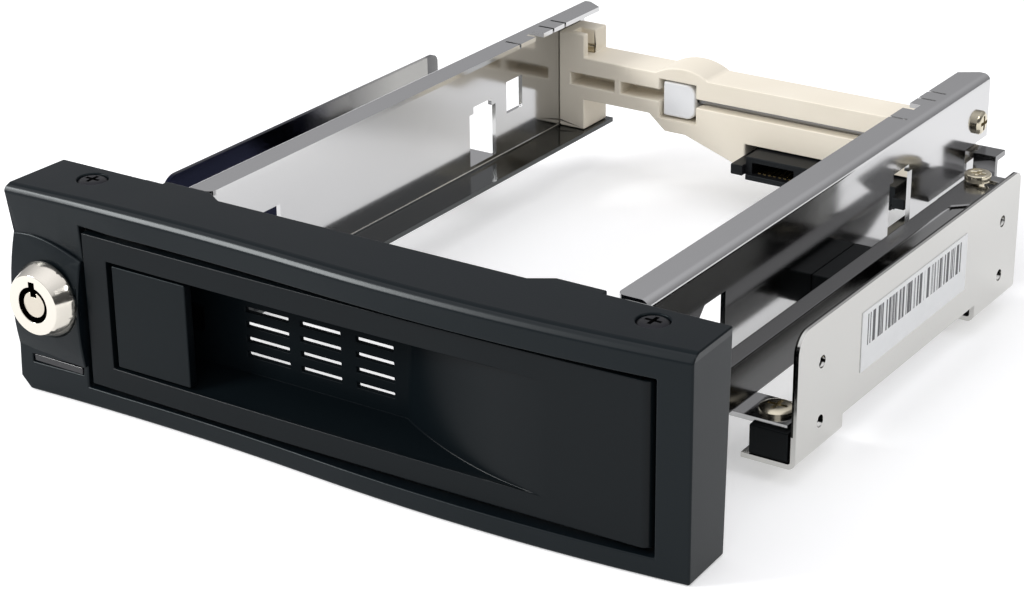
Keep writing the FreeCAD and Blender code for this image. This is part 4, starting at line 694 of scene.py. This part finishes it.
cross_screw = Recipe("cross_screw", "Head Radius", "Head Height", "Shank Radius", "Shank Length",
                     "Drive Arm", "Drive Half", "Drive Depth")
size_of = cross_screw.given
dome_drop = 0.45
shank_overlap = 0.2 * mm
head_blank = cross_screw.node("GeometryNodeMeshCylinder", {"fill_type": "TRIANGLE_FAN"},
                              {"Vertices": 40, "Side Segments": 3, "Fill Segments": 8,
                               "Radius": size_of["Head Radius"], "Depth": size_of["Head Height"]})
head_up = cross_screw.moved(head_blank, size_of["Head Height"] * 0.5)
spot_x, spot_y, spot_z = cross_screw.position()
spread = (spot_x * spot_x + spot_y * spot_y) / (size_of["Head Radius"] * size_of["Head Radius"])
domed = cross_screw.lifted(head_up, spread * spread * spread * spot_z * -dome_drop)
drive_arms = []
for arm_x, arm_y in (("Drive Arm", "Drive Half"), ("Drive Half", "Drive Arm")):
    arm_size = cross_screw.vector(size_of[arm_x] * 2, size_of[arm_y] * 2, size_of["Drive Depth"] * 2)
    drive_arms.append(cross_screw.node("GeometryNodeMeshCube", None, {"Size": arm_size}))
drive_cross = cross_screw.node("GeometryNodeJoinGeometry", None, {0: drive_arms})
drive_up = cross_screw.moved(drive_cross, size_of["Head Height"])
cut_head = cross_screw.node("GeometryNodeMeshBoolean", {"operation": "DIFFERENCE", "solver": "EXACT"},
                            {"Mesh 1": domed, "Mesh 2": drive_up, "Self Intersection": True})
shank_bar = cross_screw.node("GeometryNodeMeshCylinder", None,
                             {"Vertices": 24, "Radius": size_of["Shank Radius"],
                              "Depth": size_of["Shank Length"] + shank_overlap})
shank_down = cross_screw.moved(shank_bar, (shank_overlap - size_of["Shank Length"]) * 0.5)
cross_screw.close(cross_screw.node("GeometryNodeJoinGeometry", None, {0: [cut_head, shank_down]}))


def screws(node_name, piece_name, finish, axis, head_height, shank_radius, drive_arm):
    """The screws of a node, their heads' tops at the node's and turned to face along an axis."""
    drive_half = 0.38 * mm
    drive_depth = 0.75 * mm
    seats = []
    for low, high in islands(node_name):
        middle = (low + high) / 2
        side = math.copysign(1, middle[axis]) if axis == 0 else 1
        outward = Vector([side if part == axis else 0 for part in range(3)])
        across = (axis + 1) % 3
        head_radius = (high[across] - low[across]) / 2
        length = high[axis] - low[axis]
        seats.append((middle + outward * (length / 2 - head_height), outward))
    sizes = {"Head Radius": head_radius, "Head Height": head_height, "Shank Radius": shank_radius,
             "Shank Length": length - head_height, "Drive Arm": drive_arm, "Drive Half": drive_half,
             "Drive Depth": drive_depth}
    repeated(node_name, piece_name, cross_screw, finish, seats, sizes)


screw_plate = drawn_metal("screw_plate", shade=(0.70, 0.64, 0.50), roughness=0.20)
screw_black = drawn_metal("screw_black", shade=(0.035, 0.035, 0.040), roughness=0.38)
screws("plate_screws", "plate_screws_plated", screw_plate, axis=2, head_height=1.2 * mm,
       shank_radius=1.5 * mm, drive_arm=2.0 * mm)
screws("crossbar_screws", "crossbar_screws_plated", screw_plate, axis=0, head_height=1.5 * mm,
       shank_radius=1.3 * mm, drive_arm=1.6 * mm)
screws("board_screws", "board_screws_plated", screw_plate, axis=1, head_height=1.3 * mm,
       shank_radius=1.1 * mm, drive_arm=1.3 * mm)
screws("bezel_screws", "bezel_screws_black", screw_black, axis=2, head_height=1.2 * mm,
       shank_radius=1.4 * mm, drive_arm=1.6 * mm)

# Pin of the link: a shouldered screw that was turned from steel and plated.
# It goes down through the link's slot into the lever's arm, where a collar holds it.

eased("link_pin", "link_pin_plated", screw_plate, edge=0.3 * mm, rounds=3)

# Docking connector and backplane: moulded connector bodies soldered to a green fibreglass board.
# The dock's contacts are gold plated strips with rolled front ends, pressed into its tongue.

connector_black = moulded_black("connector_black_body", shade=(0.007, 0.007, 0.008),
                                roughness=0.42, grain=0.2)
eased("drive_connector", "dock_body", connector_black, edge=0.2 * mm)
eased("data_socket", "data_socket_body", connector_black, edge=0.2 * mm)
eased("power_socket", "power_socket_body", ivory, edge=0.2 * mm)
eased("backplane_board", "backplane", board_green, edge=0.1 * mm)
contact_gold = drawn_metal("contact_gold_plate", shade=(0.80, 0.58, 0.25), roughness=0.2)
contact_tin = drawn_metal("contact_tin_plate", shade=(0.70, 0.69, 0.66), roughness=0.25)
eased("power_pins", "socket_pins", contact_tin, edge=0.0)

rolled_strip = Recipe("rolled_strip", "Width", "Length", "Thickness", "Roll")
size_of = rolled_strip.given
strip_size = rolled_strip.vector(size_of["Width"], size_of["Length"], size_of["Thickness"])
strip_blank = rolled_strip.node("GeometryNodeMeshCube", None, {"Size": strip_size, "Vertices Y": 9})
spot_y = rolled_strip.position()[1]
run = spot_y / size_of["Length"] - 0.5
roll = run * run * run * run * size_of["Roll"] * -1
rolled_strip.close(rolled_strip.lifted(strip_blank, roll))
contact_boxes = islands("connector_contacts")
contact_size = contact_boxes[0][1] - contact_boxes[0][0]
contact_roll = 0.2 * mm
repeated("connector_contacts", "dock_contacts", rolled_strip, contact_gold,
         [((low + high) / 2, Vector((0, 0, 1))) for low, high in contact_boxes],
         {"Width": contact_size.x, "Length": contact_size.y, "Thickness": contact_size.z,
          "Roll": contact_roll})

# Stage: a white table and the light of a small studio, seen from the photograph's angle.
# Two soft boxes light the bay, from the front left and from the right, and the room glows from above.

scene.view_settings.view_transform = "Standard"
table_half = 2.0
table_drop = 0.2 * mm
table_mesh = bpy.data.meshes.new("table")
table_mesh.from_pydata([(-table_half, -table_half, 0), (table_half, -table_half, 0),
                        (table_half, table_half, 0), (-table_half, table_half, 0)], [], [(0, 1, 2, 3)])
table = bpy.data.objects.new("table", table_mesh)
scene.collection.objects.link(table)
table.location.z = -table_drop
table_white = Finish("table_white", Roughness=0.9, Specular_IOR_Level=0.0, Base_Color=(0.82, 0.82, 0.82, 1),
                     Emission_Strength=0.35)
seen_by = [table_white.node("ShaderNodeLightPath", out=ray)
           for ray in ("Is Camera Ray", "Is Glossy Ray", "Is Transmission Ray")]
seen_directly = table_white.node("ShaderNodeClamp", None, {"Value": seen_by[0] + seen_by[1] + seen_by[2]})
table_white.drive("Emission Color", table_white.blend(seen_directly, (0, 0, 0, 1), (1, 1, 1, 1)))
table_mesh.materials.append(table_white.material)

world = bpy.data.worlds.new("studio")
scene.world = world
world.use_nodes = True
studio = Tree(world.node_tree)
toward = studio.node("ShaderNodeTexCoord", out="Generated")
toward_x, toward_y, toward_z = [Signal(studio, socket) for socket in
                                studio.node("ShaderNodeSeparateXYZ", None, {0: toward}).socket.node.outputs]
side_glow = -0.03
front_glow = -0.12
ceiling_glow = 0.75
even_glow = 0.46
dark_start = 0.78
dark_fade = 0.12
dark_share = 0.85
blue_share = 1.03
glow_sum = toward_x * side_glow + toward_y * front_glow + toward_z * toward_z * ceiling_glow + even_glow
room_glow = studio.node("ShaderNodeClamp", None, {"Value": glow_sum, "Min": 0.06, "Max": 1.3})
dark_right = studio.node("ShaderNodeClamp", None, {"Value": (toward_x - dark_start) / dark_fade})
glow = room_glow * (1 - dark_right * dark_share)
glow_tint = studio.node("ShaderNodeCombineColor", None, {0: glow, 1: glow, 2: glow * blue_share})
world.node_tree.links.new(glow_tint.socket, world.node_tree.nodes["Background"].inputs["Color"])


def lamp(name, place, target, width, height, power):
    """A soft box lamp that points at a place."""
    light = bpy.data.lights.new(name, "AREA")
    light.shape = "RECTANGLE"
    light.size = width
    light.size_y = height
    light.energy = power
    holder = bpy.data.objects.new(name, light)
    scene.collection.objects.link(holder)
    away = Vector(place) - Vector(target)
    holder.matrix_world = Matrix.Translation(place) @ away.to_track_quat("Z", "Y").to_matrix().to_4x4()


bay_middle = (0, 0.06, 0.02)
lamp("key_box", (-0.72, -0.59, 0.545), bay_middle, width=0.32, height=0.26, power=8)
lamp("fill_box", (0.80, 0.02, 0.58), bay_middle, width=0.30, height=0.20, power=1.2)

camera_azimuth = math.radians(33.79)
camera_height = math.radians(23.51)
camera_roll = math.radians(-0.65)
camera_distance = 502.65 * mm
camera_target = Vector((-0.55, 47.3, 13.61)) * mm
back = Vector((math.sin(camera_azimuth) * math.cos(camera_height),
               -math.cos(camera_azimuth) * math.cos(camera_height), math.sin(camera_height)))
level = Vector((math.cos(camera_azimuth), math.sin(camera_azimuth), 0))
upward = back.cross(level)
across = level * math.cos(camera_roll) + upward * math.sin(camera_roll)
upright = upward * math.cos(camera_roll) - level * math.sin(camera_roll)
camera = bpy.data.objects.new("camera", bpy.data.cameras.new("camera"))
scene.collection.objects.link(camera)
camera.data.sensor_width = 36
camera.data.lens = 89.46
turn = Matrix((across, upright, back)).transposed().to_4x4()
camera.matrix_world = Matrix.Translation(camera_target + back * camera_distance) @ turn
scene.camera = camera
